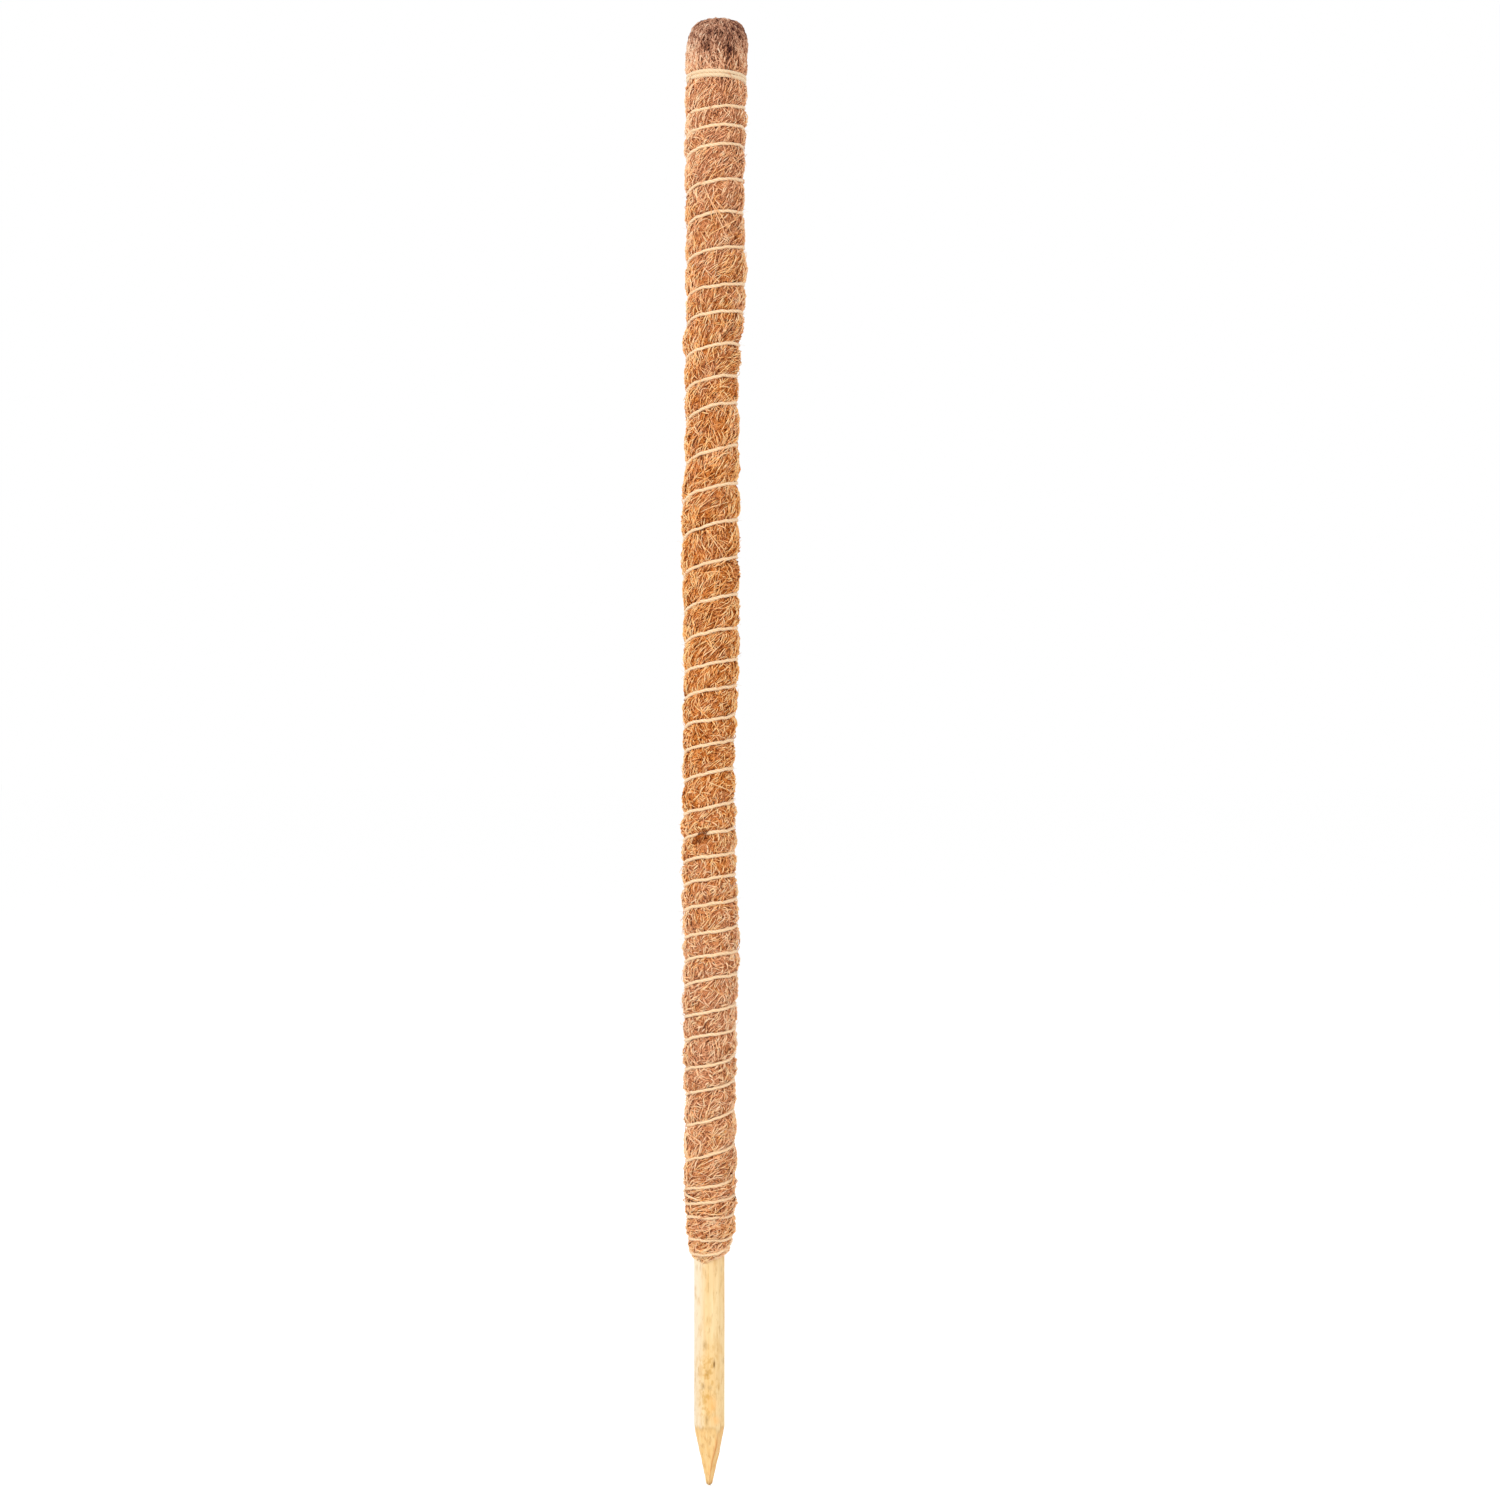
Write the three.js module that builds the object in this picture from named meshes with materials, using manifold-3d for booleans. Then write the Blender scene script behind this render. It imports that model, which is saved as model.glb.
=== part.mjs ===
// A coir moss pole: a pointed wooden stake in a sleeve of coconut fibre, bound on with a spiral of twine.
// Millimetres, +Z up, -Y is the front. The origin is on the stake's axis at the soil line, where the coir ends.
import * as THREE from 'three';
import { mergeVertices } from 'three/addons/utils/BufferGeometryUtils.js';
import Module from 'manifold-3d';

// Stake
const STAKE_DIAMETER = 12.5;
const BARE_LENGTH = 91; // below the coir, with the point
const POINT_LENGTH = 25;
const TIP_WIDTH = 2; // across the flats of the blunt tip
const POINT_CUTS = 8; // knife cuts round the point
const STAKE_SIDES = 28;
const STAKE_END_DEPTH = 12; // from the crown of the coir down to the stake's upper end

// Coir
const COIR_LENGTH = 509; // from the soil line to the crown
const CAP_HEIGHT = 25; // from the middle of the twine band to the crown
const DOME_HEIGHT = 11.5;
const CROWN_SHIFT = 1.5; // the crown leans to the right of the cap's middle
const MAT_THICKNESS = 4.5; // at the fullest place between two turns of twine
const SWELL = 1.3; // extra thickness of the upper part
const SWELL_SHIFT = 2.3; // the upper part is thicker on the right, so its middle lies to the right
const SWELL_FULL_DEPTH = 112; // below the crown: full swell above this
const SWELL_START_DEPTH = 150; // below the crown: no swell below this
const LIP_THICKNESS = 1; // of the mat's edge at the soil line
const LIP_ROUNDING = 14; // height over which the mat rounds in to its edge
const CAP_SHOULDER = 4; // height in which the cap swells out above the band
const GROOVE_DEPTH = 2.4; // how far a turn of twine draws the mat in
const CREST_RATIO = 0.25; // the mat's rise between two turns, at most this share of their spacing
const LEAST_WALL = 1; // of mat under the twine

// Twine
const TWINE_DIAMETER = 1.5;
const BAND_GAP = 0.5; // between the two turns of the top band
const LAY_END_HEIGHT = 3; // of the twine's end above the soil line
const LAY_TILT = 0.5; // the turns lie flatter in front and steeper behind
const SPLIT_TURN = 22; // the spiral is two tubes, which meet behind at this turn
const KNOT_SIZE = 1.6;
const KNOT_STRAND = 1.2; // diameter of the pulled-tight twine in a knot

// The spiral below the band, from the top: turns and their spacing. The spacings stretch alike to fill the mat.
const TWINE_LAY = [
  [1, 11.8],
  [2, 8.4],
  [4, 14.4],
  [4, 12],
  [5, 15.7],
  [3, 12.5],
  [2, 10.7],
  [3, 12.1],
  [2, 9.4],
  [4, 10.1],
  [1, 13.1],
  [3, 10.6],
  [3, 13.1],
  [2, 6.5],
  [1, 8.4],
  [1.5, 4.9],
];

// Clearance and faceting
const FIT_GAP = 0.3; // between pieces that touch
const STATIONS = 14; // corners round the coir and steps in a turn of twine
const TWINE_SIDES = 5;
const DOME_STEPS = 4;
const KNOT_STEPS = 36;
const KNOT_SIDES = 5;

// Derived sizes
const stakeRadius = STAKE_DIAMETER / 2;
const twineRadius = TWINE_DIAMETER / 2;
const boreRadius = stakeRadius + FIT_GAP;
const boreCorners = boreRadius / Math.cos(Math.PI / STATIONS);
const stakeTop = COIR_LENGTH - STAKE_END_DEPTH;
const bandHeight = COIR_LENGTH - CAP_HEIGHT;
const bandStep = TWINE_DIAMETER + BAND_GAP;
const jointHeight = bandHeight + bandStep / 2; // where the cap sits on the sleeve
const seatRise = (twineRadius + FIT_GAP) * Math.hypot(1, 2 * CREST_RATIO);
const knotHalfThickness = (KNOT_SIZE + KNOT_STRAND) / 2;
const knotHalfWidth = (3 * KNOT_SIZE + KNOT_STRAND) / 2;
const knotLift = twineRadius + FIT_GAP + knotHalfThickness;

// Turns are counted from the top knot, with whole numbers behind and halves in front.
const bandEndTurn = 1.5;
const sleeveFirstTurn = 1;
const layTurns = TWINE_LAY.reduce((sum, [turns]) => sum + turns, 0);
const layNominal = TWINE_LAY.reduce((sum, [turns, spacing]) => sum + turns * spacing, 0);
const layTop = bandHeight - bandStep / 2;
const layStretch = (layTop - LAY_END_HEIGHT) / layNominal;
const lastTurn = bandEndTurn + layTurns;
const behind = Math.PI / 2;

function smoothStep(value) {
  const share = Math.min(1, Math.max(0, value));
  return share * share * (3 - 2 * share);
}

function swellShare(height) {
  const start = COIR_LENGTH - SWELL_START_DEPTH;
  const full = COIR_LENGTH - SWELL_FULL_DEPTH;
  return smoothStep((height - start) / (full - start));
}

// Middle of the coir, to the right of the stake's axis
function coirMiddle(height) {
  return SWELL_SHIFT * swellShare(height);
}

// Radius of the mat where no twine draws it in
function matRadius(height) {
  const thickness = MAT_THICKNESS + SWELL * swellShare(height);
  const inward = Math.max(0, 1 - Math.max(0, height) / LIP_ROUNDING);
  return boreRadius + LIP_THICKNESS + (thickness - LIP_THICKNESS) * Math.sqrt(1 - inward * inward);
}

function grooveRadius(height) {
  return Math.max(matRadius(height) - GROOVE_DEPTH, boreRadius + LEAST_WALL);
}

function turnAngle(turn) {
  return behind - 2 * Math.PI * turn;
}

// How far the spiral has come down after so many turns of the lay
function layDescent(turns) {
  let descent = 0;
  let left = turns;
  for (const [count, spacing] of TWINE_LAY) {
    const used = Math.min(left, count);
    descent += used * spacing;
    left -= used;
  }
  return descent * layStretch;
}

function laySpacing(turns) {
  let end = 0;
  for (const [count, spacing] of TWINE_LAY) {
    end += count;
    if (turns < end) {
      return spacing * layStretch;
    }
  }
  return TWINE_LAY.at(-1)[1] * layStretch;
}

function turnHeight(turn) {
  if (turn <= bandEndTurn) {
    return bandHeight + bandStep * (1 - turn);
  }
  const turns = turn - bandEndTurn;
  const tilt = (LAY_TILT * laySpacing(turns) * Math.sin(2 * Math.PI * turns)) / (2 * Math.PI);
  return layTop - layDescent(turns) + tilt;
}

function onCoir(radius, angle, height) {
  const x = coirMiddle(height) + radius * Math.cos(angle);
  return new THREE.Vector3(x, radius * Math.sin(angle), height);
}

function solidGeometry(points, triangles) {
  const geometry = new THREE.BufferGeometry().setFromPoints(points);
  geometry.setIndex(triangles.flat());
  geometry.computeVertexNormals();
  return geometry;
}

// A skin over rings of points that all have the same number of corners
function loftedRings(rings) {
  const corners = rings[0].length;
  const points = rings.flat();
  const triangles = [];
  for (let ring = 0; ring + 1 < rings.length; ring += 1) {
    const here = ring * corners;
    const there = here + corners;
    for (let corner = 0; corner < corners; corner += 1) {
      const next = (corner + 1) % corners;
      triangles.push([here + corner, here + next, there + next]);
      triangles.push([here + corner, there + next, there + corner]);
    }
  }
  return { points, triangles };
}

// A level ring with its corners at the stations of a turn, in the order in which the twine passes them
function stationRing(radius, height, middle) {
  return Array.from({ length: STATIONS }, (_, station) => {
    const angle = turnAngle(station / STATIONS);
    return new THREE.Vector3(middle + radius * Math.cos(angle), radius * Math.sin(angle), height);
  });
}

// Stake: a dowel cut to a point by flat knife cuts
const wasm = await Module();
wasm.setup();

function toManifold(geometry) {
  const plain = geometry.clone();
  plain.deleteAttribute('normal');
  plain.deleteAttribute('uv');
  const merged = mergeVertices(plain);
  const mesh = new wasm.Mesh({
    numProp: 3,
    vertProperties: new Float32Array(merged.attributes.position.array),
    triVerts: new Uint32Array(merged.index.array),
  });
  return new wasm.Manifold(mesh);
}

function fromManifold(solid) {
  const mesh = solid.getMesh();
  const geometry = new THREE.BufferGeometry();
  geometry.setAttribute('position', new THREE.BufferAttribute(new Float32Array(mesh.vertProperties), 3));
  geometry.setIndex(new THREE.BufferAttribute(new Uint32Array(mesh.triVerts), 1));
  geometry.computeVertexNormals();
  return geometry;
}

function standingCylinder(topRadius, bottomRadius, length, sides) {
  const geometry = new THREE.CylinderGeometry(topRadius, bottomRadius, length, sides);
  geometry.rotateX(Math.PI / 2);
  geometry.translate(0, 0, length / 2 - BARE_LENGTH);
  return geometry;
}

function stakeGeometry() {
  const length = BARE_LENGTH + stakeTop;
  const dowel = standingCylinder(stakeRadius, stakeRadius, length, STAKE_SIDES);
  const flatsToCorners = 1 / Math.cos(Math.PI / POINT_CUTS);
  const flare = (stakeRadius - TIP_WIDTH / 2) / POINT_LENGTH;
  const cutTop = (TIP_WIDTH / 2 + flare * length) * flatsToCorners;
  const cutBottom = (TIP_WIDTH / 2) * flatsToCorners;
  const cuts = standingCylinder(cutTop, cutBottom, length, POINT_CUTS);
  cuts.rotateZ(Math.PI / POINT_CUTS / 2);
  return fromManifold(toManifold(dowel).intersect(toManifold(cuts)));
}

// Sleeve: a tube whose outside is a spiral strip, drawn in along the twine and full between two turns
function sleeveGeometry() {
  const steps = Math.round((lastTurn - sleeveFirstTurn) * STATIONS);
  const points = [];
  const triangles = [];
  const add = (point) => points.push(point) - 1;
  const groove = [];
  const crest = [];
  for (let step = 0; step <= steps; step += 1) {
    const turn = sleeveFirstTurn + step / STATIONS;
    const height = turnHeight(turn);
    groove.push(add(onCoir(grooveRadius(height), turnAngle(turn), height)));
    if (step + STATIONS <= steps) {
      const below = turnHeight(turn + 1);
      const middle = (height + below) / 2;
      const rise = Math.min(GROOVE_DEPTH, CREST_RATIO * (height - below));
      crest.push(add(onCoir(grooveRadius(middle) + rise, turnAngle(turn), middle)));
    }
  }
  const addRing = (radius, height, middle) => stationRing(radius, height, middle).map(add);
  const top = addRing(grooveRadius(jointHeight), jointHeight, coirMiddle(jointHeight));
  const bottom = addRing(boreRadius + LIP_THICKNESS, 0, coirMiddle(0));
  const boreTop = addRing(boreCorners, jointHeight, 0);
  const boreBottom = addRing(boreCorners, 0, 0);
  const quad = (a, b, c, d) => triangles.push([a, c, b], [a, d, c]);
  // the strip of one turn: groove, crest and the next groove
  for (let step = 0; step + STATIONS < steps; step += 1) {
    quad(groove[step + 1], groove[step], crest[step], crest[step + 1]);
    quad(crest[step + 1], crest[step], groove[step + STATIONS], groove[step + STATIONS + 1]);
  }
  // above the first turn and below the last one
  for (let step = 0; step < STATIONS; step += 1) {
    const next = (step + 1) % STATIONS;
    const low = steps - STATIONS + step;
    quad(top[next], top[step], groove[step], groove[step + 1]);
    quad(groove[low + 1], groove[low], bottom[step], bottom[next]);
    quad(boreTop[step], boreTop[next], boreBottom[next], boreBottom[step]);
    quad(boreTop[next], boreTop[step], top[step], top[next]);
    quad(bottom[next], bottom[step], boreBottom[step], boreBottom[next]);
  }
  // where the spiral strip starts and ends, behind
  const last = steps - STATIONS;
  quad(groove[STATIONS], crest[0], groove[0], top[0]);
  quad(bottom[0], groove[last], crest[last], groove[steps]);
  return solidGeometry(points, triangles);
}

// Cap: a dome with a blind bore for the stake's upper end
function capGeometry() {
  const middle = coirMiddle(jointHeight);
  const shoulderStart = bandHeight + bandStep + twineRadius + FIT_GAP;
  const domeStart = COIR_LENGTH - DOME_HEIGHT;
  const fullRadius = matRadius(domeStart);
  const rimHeight = jointHeight + FIT_GAP;
  const boreTop = stakeTop + FIT_GAP;
  const rings = [
    stationRing(boreCorners, boreTop, 0),
    stationRing(boreCorners, rimHeight, 0),
    stationRing(grooveRadius(rimHeight), rimHeight, middle),
    stationRing(grooveRadius(shoulderStart), shoulderStart, middle),
    stationRing(fullRadius, shoulderStart + CAP_SHOULDER, middle),
  ];
  for (let step = 0; step < DOME_STEPS; step += 1) {
    const rise = (step / DOME_STEPS) * (Math.PI / 2);
    const shift = CROWN_SHIFT * Math.sin(rise);
    const height = domeStart + DOME_HEIGHT * Math.sin(rise);
    rings.push(stationRing(fullRadius * Math.cos(rise), height, middle + shift));
  }
  const { points, triangles } = loftedRings(rings.map((ring) => ring.reverse()));
  const crown = points.push(new THREE.Vector3(middle + CROWN_SHIFT, 0, COIR_LENGTH)) - 1;
  const bottom = points.push(new THREE.Vector3(0, 0, boreTop)) - 1;
  const lastRing = (rings.length - 1) * STATIONS;
  for (let corner = 0; corner < STATIONS; corner += 1) {
    const next = (corner + 1) % STATIONS;
    triangles.push([bottom, next, corner]);
    triangles.push([lastRing + corner, lastRing + next, crown]);
  }
  return solidGeometry(points, triangles);
}

// Twine: points down its middle, straight for one diameter at each end
function twineSeat(turn) {
  return grooveRadius(turnHeight(turn)) + seatRise;
}

function tangentPoint(turn, lift, along) {
  const angle = turnAngle(turn);
  const point = onCoir(twineSeat(turn) + lift, angle, turnHeight(turn));
  return point.add(new THREE.Vector3(Math.sin(angle), -Math.cos(angle), 0).multiplyScalar(along));
}

// A length of the winding between two turns that lie behind. Each end is drawn back by its inset and lifted.
function windingPath(first, last) {
  const path = [];
  const fadeSteps = 4;
  const chord = 2 * Math.sin(Math.PI / STATIONS);
  const skipped = (end) =>
    Math.ceil((end.inset + 2 * TWINE_DIAMETER) / (chord * twineSeat(end.turn)));
  const liftAt = (end, steps) => end.lift * (1 - smoothStep(steps / fadeSteps));
  path.push(tangentPoint(first.turn, first.lift, first.inset));
  path.push(tangentPoint(first.turn, first.lift, first.inset + TWINE_DIAMETER));
  const steps = Math.round((last.turn - first.turn) * STATIONS);
  for (let step = skipped(first); step <= steps - skipped(last); step += 1) {
    const turn = first.turn + step / STATIONS;
    const lift = Math.max(liftAt(first, step), liftAt(last, steps - step));
    path.push(tangentPoint(turn, lift, 0));
  }
  path.push(tangentPoint(last.turn, last.lift, -last.inset - TWINE_DIAMETER));
  path.push(tangentPoint(last.turn, last.lift, -last.inset));
  return path;
}

function tubeGeometry(path, radius, sides) {
  const rings = path.map((point, index) => {
    const before = path[Math.max(0, index - 1)];
    const after = path[Math.min(path.length - 1, index + 1)];
    const back = point.clone().sub(before).normalize();
    const ahead = after.clone().sub(point).normalize();
    const forward = back.clone().add(ahead).normalize();
    const outward = new THREE.Vector3(point.x - coirMiddle(point.z), point.y, 0);
    outward.addScaledVector(forward, -outward.dot(forward)).normalize();
    const side = new THREE.Vector3().crossVectors(forward, outward);
    return Array.from({ length: sides }, (_, corner) => {
      const angle = (2 * Math.PI * corner) / sides;
      const offset = outward.clone().multiplyScalar(Math.cos(angle));
      return point.clone().addScaledVector(offset.addScaledVector(side, Math.sin(angle)), radius);
    });
  });
  const { points, triangles } = loftedRings(rings);
  const lastRing = (rings.length - 1) * sides;
  for (let corner = 1; corner < sides - 1; corner += 1) {
    triangles.push([0, corner + 1, corner]);
    triangles.push([lastRing, lastRing + corner, lastRing + corner + 1]);
  }
  return solidGeometry(points, triangles);
}

// The least clear space between one turn of a tube and the next ones
function leastGap(path, diameter) {
  let least = Infinity;
  for (let here = 0; here < path.length; here += 1) {
    for (let there = here + Math.round(STATIONS / 2); there < path.length; there += 1) {
      least = Math.min(least, path[here].distanceTo(path[there]) - diameter);
    }
  }
  return least;
}

// Knot: the twine pulled tight on itself, lying flat on the outside of the pole, behind
function knotGeometry(turn, height) {
  const geometry = new THREE.TorusKnotGeometry(KNOT_SIZE, KNOT_STRAND / 2, KNOT_STEPS, KNOT_SIDES);
  geometry.rotateX(-Math.PI / 2);
  geometry.translate(coirMiddle(height), twineSeat(turn) + knotLift, height);
  return geometry;
}

const knotInset = knotHalfWidth + FIT_GAP;
const startEnd = { turn: 0, lift: knotLift, inset: knotInset };
const splitEnd = { turn: SPLIT_TURN, lift: 0, inset: FIT_GAP / 2 };
const finalEnd = { turn: lastTurn, lift: knotLift, inset: knotInset };
const upperPath = windingPath(startEnd, splitEnd);
const lowerPath = windingPath(splitEnd, finalEnd);
console.log(`twine_upper least gap to itself ${leastGap(upperPath, TWINE_DIAMETER).toFixed(2)} mm`);
console.log(`twine_lower least gap to itself ${leastGap(lowerPath, TWINE_DIAMETER).toFixed(2)} mm`);

// Materials, one for each piece
const wood = { color: 0xefcf97, roughness: 0.65, metalness: 0 };
const coir = { color: 0xb9793f, roughness: 0.95, metalness: 0 };
const cord = { color: 0xf3e2b8, roughness: 0.85, metalness: 0 };

const mossPole = new THREE.Group();

function addPiece(name, geometry, finish) {
  const mesh = new THREE.Mesh(geometry, new THREE.MeshStandardMaterial(finish));
  mesh.name = name;
  mossPole.add(mesh);
}

addPiece('wooden_stake', stakeGeometry(), wood);
addPiece('coir_sleeve', sleeveGeometry(), coir);
addPiece('coir_cap', capGeometry(), coir);
addPiece('twine_upper', tubeGeometry(upperPath, twineRadius, TWINE_SIDES), cord);
addPiece('twine_lower', tubeGeometry(lowerPath, twineRadius, TWINE_SIDES), cord);
addPiece('top_knot', knotGeometry(0, bandHeight + bandStep / 2), cord);
addPiece('bottom_knot', knotGeometry(lastTurn, turnHeight(lastTurn)), cord);

export default mossPole;
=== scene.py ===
"""A coir moss pole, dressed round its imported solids. Sums are in millimetres, meshes in metres.
+Z is up along the stake, -Y is the front, and the origin is at the soil line."""
import math

import bpy
import numpy as np
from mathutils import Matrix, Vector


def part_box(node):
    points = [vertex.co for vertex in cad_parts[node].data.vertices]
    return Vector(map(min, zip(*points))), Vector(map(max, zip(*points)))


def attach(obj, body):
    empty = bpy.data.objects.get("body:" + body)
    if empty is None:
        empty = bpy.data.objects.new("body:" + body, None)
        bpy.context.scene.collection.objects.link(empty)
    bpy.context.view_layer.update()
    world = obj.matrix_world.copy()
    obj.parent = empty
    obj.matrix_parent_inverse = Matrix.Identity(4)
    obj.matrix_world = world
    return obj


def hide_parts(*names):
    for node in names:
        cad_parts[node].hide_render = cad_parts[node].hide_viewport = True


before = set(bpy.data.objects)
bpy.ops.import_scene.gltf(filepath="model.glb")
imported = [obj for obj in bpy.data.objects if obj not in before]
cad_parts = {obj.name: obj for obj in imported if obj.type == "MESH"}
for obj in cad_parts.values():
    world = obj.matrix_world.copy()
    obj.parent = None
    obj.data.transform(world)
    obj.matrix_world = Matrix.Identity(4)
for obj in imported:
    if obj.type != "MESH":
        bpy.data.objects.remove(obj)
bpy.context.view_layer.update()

MM = 0.001


def node_box(name):
    low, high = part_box(name)
    return np.array(low) / MM, np.array(high) / MM


# Sizes read from the solids
FIBRE_COVER = 1.6  # how far the fibres stand on the mat
stake_low, stake_high = node_box("wooden_stake")
stake_radius = (stake_high[1] - stake_low[1]) / 2
tip_height = stake_low[2]
stake_top = stake_high[2]
joint_height = node_box("coir_sleeve")[1][2]
crown_height = node_box("coir_cap")[1][2] - FIBRE_COVER

COIR_RADIUS = 11.0  # about the middle of the coir's range
CAP_RADIUS = 12.0  # about the radius at the cap


# Sums that many pieces use
def smooth_step(value):
    share = np.clip(value, 0, 1)
    return share * share * (3 - 2 * share)


def risen(value, low, high):
    """0 up to low and 1 from high on, with an easy rise between them."""
    return smooth_step((value - low) / (high - low))


def eased(place, places, values):
    """Values between given places, with an easy bend at each of them."""
    places = np.asarray(places, float)
    values = np.asarray(values, float)
    index = np.clip(np.searchsorted(places, place) - 1, 0, len(places) - 2)
    share = smooth_step((place - places[index]) / (places[index + 1] - places[index]))
    return values[index] + (values[index + 1] - values[index]) * share


def unit(vectors):
    return vectors / np.maximum(np.linalg.norm(vectors, axis=-1, keepdims=True), 1e-9)


def dot(first, second):
    return np.sum(first * second, axis=-1, keepdims=True)


def circle(count):
    """Angles of so many even steps round a circle."""
    return 2 * math.pi * np.arange(count) / count


def round_points(angle, height, radius, middle=0.0):
    """Points at a radius about an upright line, which lies so far to the right of the stake's axis."""
    return np.stack([middle + radius * np.cos(angle), radius * np.sin(angle), height], axis=-1)


def bump_round(angle, middle, width):
    """1 at the middle angle, falling to 0 on both sides of it."""
    apart = np.angle(np.exp(1j * (np.asarray(angle) - middle)))
    return np.exp(-((apart / width) ** 2))


def waves(seed, count, longest, shortest):
    """A smooth, seeded unevenness over (angle, height), about -1 to 1."""
    rng = np.random.default_rng(seed)
    lengths = np.exp(rng.uniform(math.log(shortest), math.log(longest), count))
    slants = rng.uniform(0, math.pi, count)
    around = np.round(np.cos(slants) * 2 * math.pi * COIR_RADIUS / lengths)
    upward = np.sin(slants) * 2 * math.pi / lengths
    phases = rng.uniform(0, 2 * math.pi, count)

    def value(angle, height):
        total = 0.0
        for turn, rise, phase in zip(around, upward, phases):
            total = total + np.sin(turn * angle + rise * height + phase)
        return total / math.sqrt(count)

    return value


# Lay of the twine. Turns are counted from the top knot: whole numbers behind, halves in front.
TWINE_RADIUS = 0.68
BAND_BELOW_JOINT = 0.7  # from the sleeve's upper end down to the top band
BAND_DROP = 1.6  # from one turn of the top band to the next
BAND_TILT = 2.1  # its turns lie a little lower on the right
BAND_ARCH = 1.2  # and sag at the sides
BAND_END_TURN = 1.75
BAND_EXIT = (2.25, 473.4)  # turn and height where the twine has left the band, on the right
FIRST_PASS_TURN = 2.5
# Heights at which the twine passes the front below the band
FRONT_PASSES = [
    470.6, 463.1, 455.6, 440.7, 427.8, 413.1, 398, 387.5, 373.7, 360.6, 349.5, 330.9, 316.1, 300.9,
    285.7, 270.6, 257.4, 244.4, 233.9, 221.6, 211.7, 200.1, 186, 175.6, 166.1, 157.1, 146.9, 135.5,
    125.9, 116.6, 102.9, 93.7, 81.2, 71.6, 59.1, 44.7, 31.7, 25.6, 19.2, 10, 3.2,
]
END_DROP = 0.6  # from the last of them to the twine's end
# Below the band, by height: how much flatter the turns lie in front than behind, and how far they
# sag at the sides
LAY_SHAPE = [
    (30, -0.2, -0.6), (80, -0.2, -0.6), (110, 0.0, 0.7), (230, 0.0, 0.7),
    (270, -0.14, 1.76), (350, -0.14, 1.76), (385, 0.23, 2.0), (471, 0.23, 2.0),
]
FOOT_LEVEL_TURNS = (39.6, 40.1)  # from here on they lie level in front
FOOT_TILT = 1.0
FOOT_ARCH = -0.4  # and rise at the sides
FOOT_RISE = 5.4  # the last turn lies higher on the right
FOOT_RISE_TURN = 42.2
FOOT_RISE_REACH = 0.22
END_RISE = 2.4  # and rises again at its end
END_RISE_TURNS = (42.5, 42.9)
SPLIT_TURN = 22  # where the upper piece meets the lower one
LAST_TURN = 43.0

band_height = joint_height - BAND_BELOW_JOINT


def band_lay(turn):
    """Height of the twine in the top band."""
    past_front = 2 * math.pi * (turn - 0.5)
    tilt = BAND_TILT * BAND_DROP * np.sin(past_front) / (2 * math.pi)
    sag = BAND_ARCH * (1 - np.cos(past_front))
    return band_height + BAND_DROP * (1 - turn) + tilt - sag


LAY_HEIGHTS, LAY_TILTS, LAY_SAGS = zip(*LAY_SHAPE)
lay_heights = np.array([band_lay(BAND_END_TURN), BAND_EXIT[1], *FRONT_PASSES, FRONT_PASSES[-1] - END_DROP])
lay_turns = np.array([BAND_END_TURN, BAND_EXIT[0], *np.arange(len(FRONT_PASSES) + 1) + FIRST_PASS_TURN])


def turn_angle(turn):
    return math.pi / 2 - 2 * math.pi * np.asarray(turn, float)


def turn_height(turn):
    turn = np.asarray(turn, float)
    height = np.interp(turn, lay_turns, lay_heights)
    span = np.clip(np.searchsorted(lay_turns, turn) - 1, 0, len(lay_heights) - 2)
    spacing = (lay_heights[span] - lay_heights[span + 1]) / (lay_turns[span + 1] - lay_turns[span])
    past_front = 2 * math.pi * (turn - FIRST_PASS_TURN)
    at_foot = risen(turn, *FOOT_LEVEL_TURNS)
    tilt = np.interp(height, LAY_HEIGHTS, LAY_TILTS)
    tilt = tilt + (FOOT_TILT - tilt) * at_foot
    tilt = tilt * spacing * np.sin(past_front) / (2 * math.pi)
    sag = np.interp(height, LAY_HEIGHTS, LAY_SAGS)
    sag = (sag + (FOOT_ARCH - sag) * at_foot) * (1 - np.cos(past_front))
    started = risen(turn, BAND_END_TURN, FIRST_PASS_TURN)
    foot = FOOT_RISE * np.exp(-(((turn - FOOT_RISE_TURN) / FOOT_RISE_REACH) ** 2))
    foot = foot + END_RISE * risen(turn, *END_RISE_TURNS)
    return np.where(turn <= BAND_END_TURN, band_lay(turn), height + (tilt - sag) * started + foot)


# Shape of the coir: height, radius between two turns of twine and how far the middle lies to the right
COIR_OUTLINE = [
    (0, 8.8, 0.6), (6, 9.25, 0.5), (16, 9.95, 0.3), (27, 10.7, 0.25), (40, 10.5, 0.3), (62, 10.4, 0.3),
    (95, 10.8, 0.2), (132, 11.3, 0.8), (171, 10.9, -0.2), (205, 10.4, -0.2), (250, 11.2, 0.7),
    (304, 11.6, 0.4), (331, 10.9, 1.0), (358, 10.7, 1.0), (375, 11.4, 1.3), (388, 11.7, 2.5),
    (408, 12.3, 2.8), (424, 11.8, 2.4), (442, 11.9, 2.2), (468, 12.3, 2.6), (495, 11.95, 2.9),
]
OUTLINE_HEIGHTS, OUTLINE_RADII, OUTLINE_MIDDLES = zip(*COIR_OUTLINE)
GROOVE_DEPTH = 1.6
BAND_GROOVE = 0.6  # share of that depth under the top band
BAND_GROOVE_REACH = 14.0
RISE_RATIO = 0.22  # the coir's rise between two turns, at most this share of their spacing
RISE_SPREAD = 0.1
BULGE_POWER = 3.4
LIP_RADIUS = 6.7
LIP_LOW = 1.8  # height of the coir's lower edge
LIP_RISE = 2.8  # which lies higher on the right
LIP_RISE_WIDTH = math.radians(50)
LIP_ROUNDING = 2.0  # least height in which the edge rounds off
TUFT_ANGLE = math.radians(-124)  # the edge hangs lower here, as a tuft
TUFT_WIDTH = math.radians(24)
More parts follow.
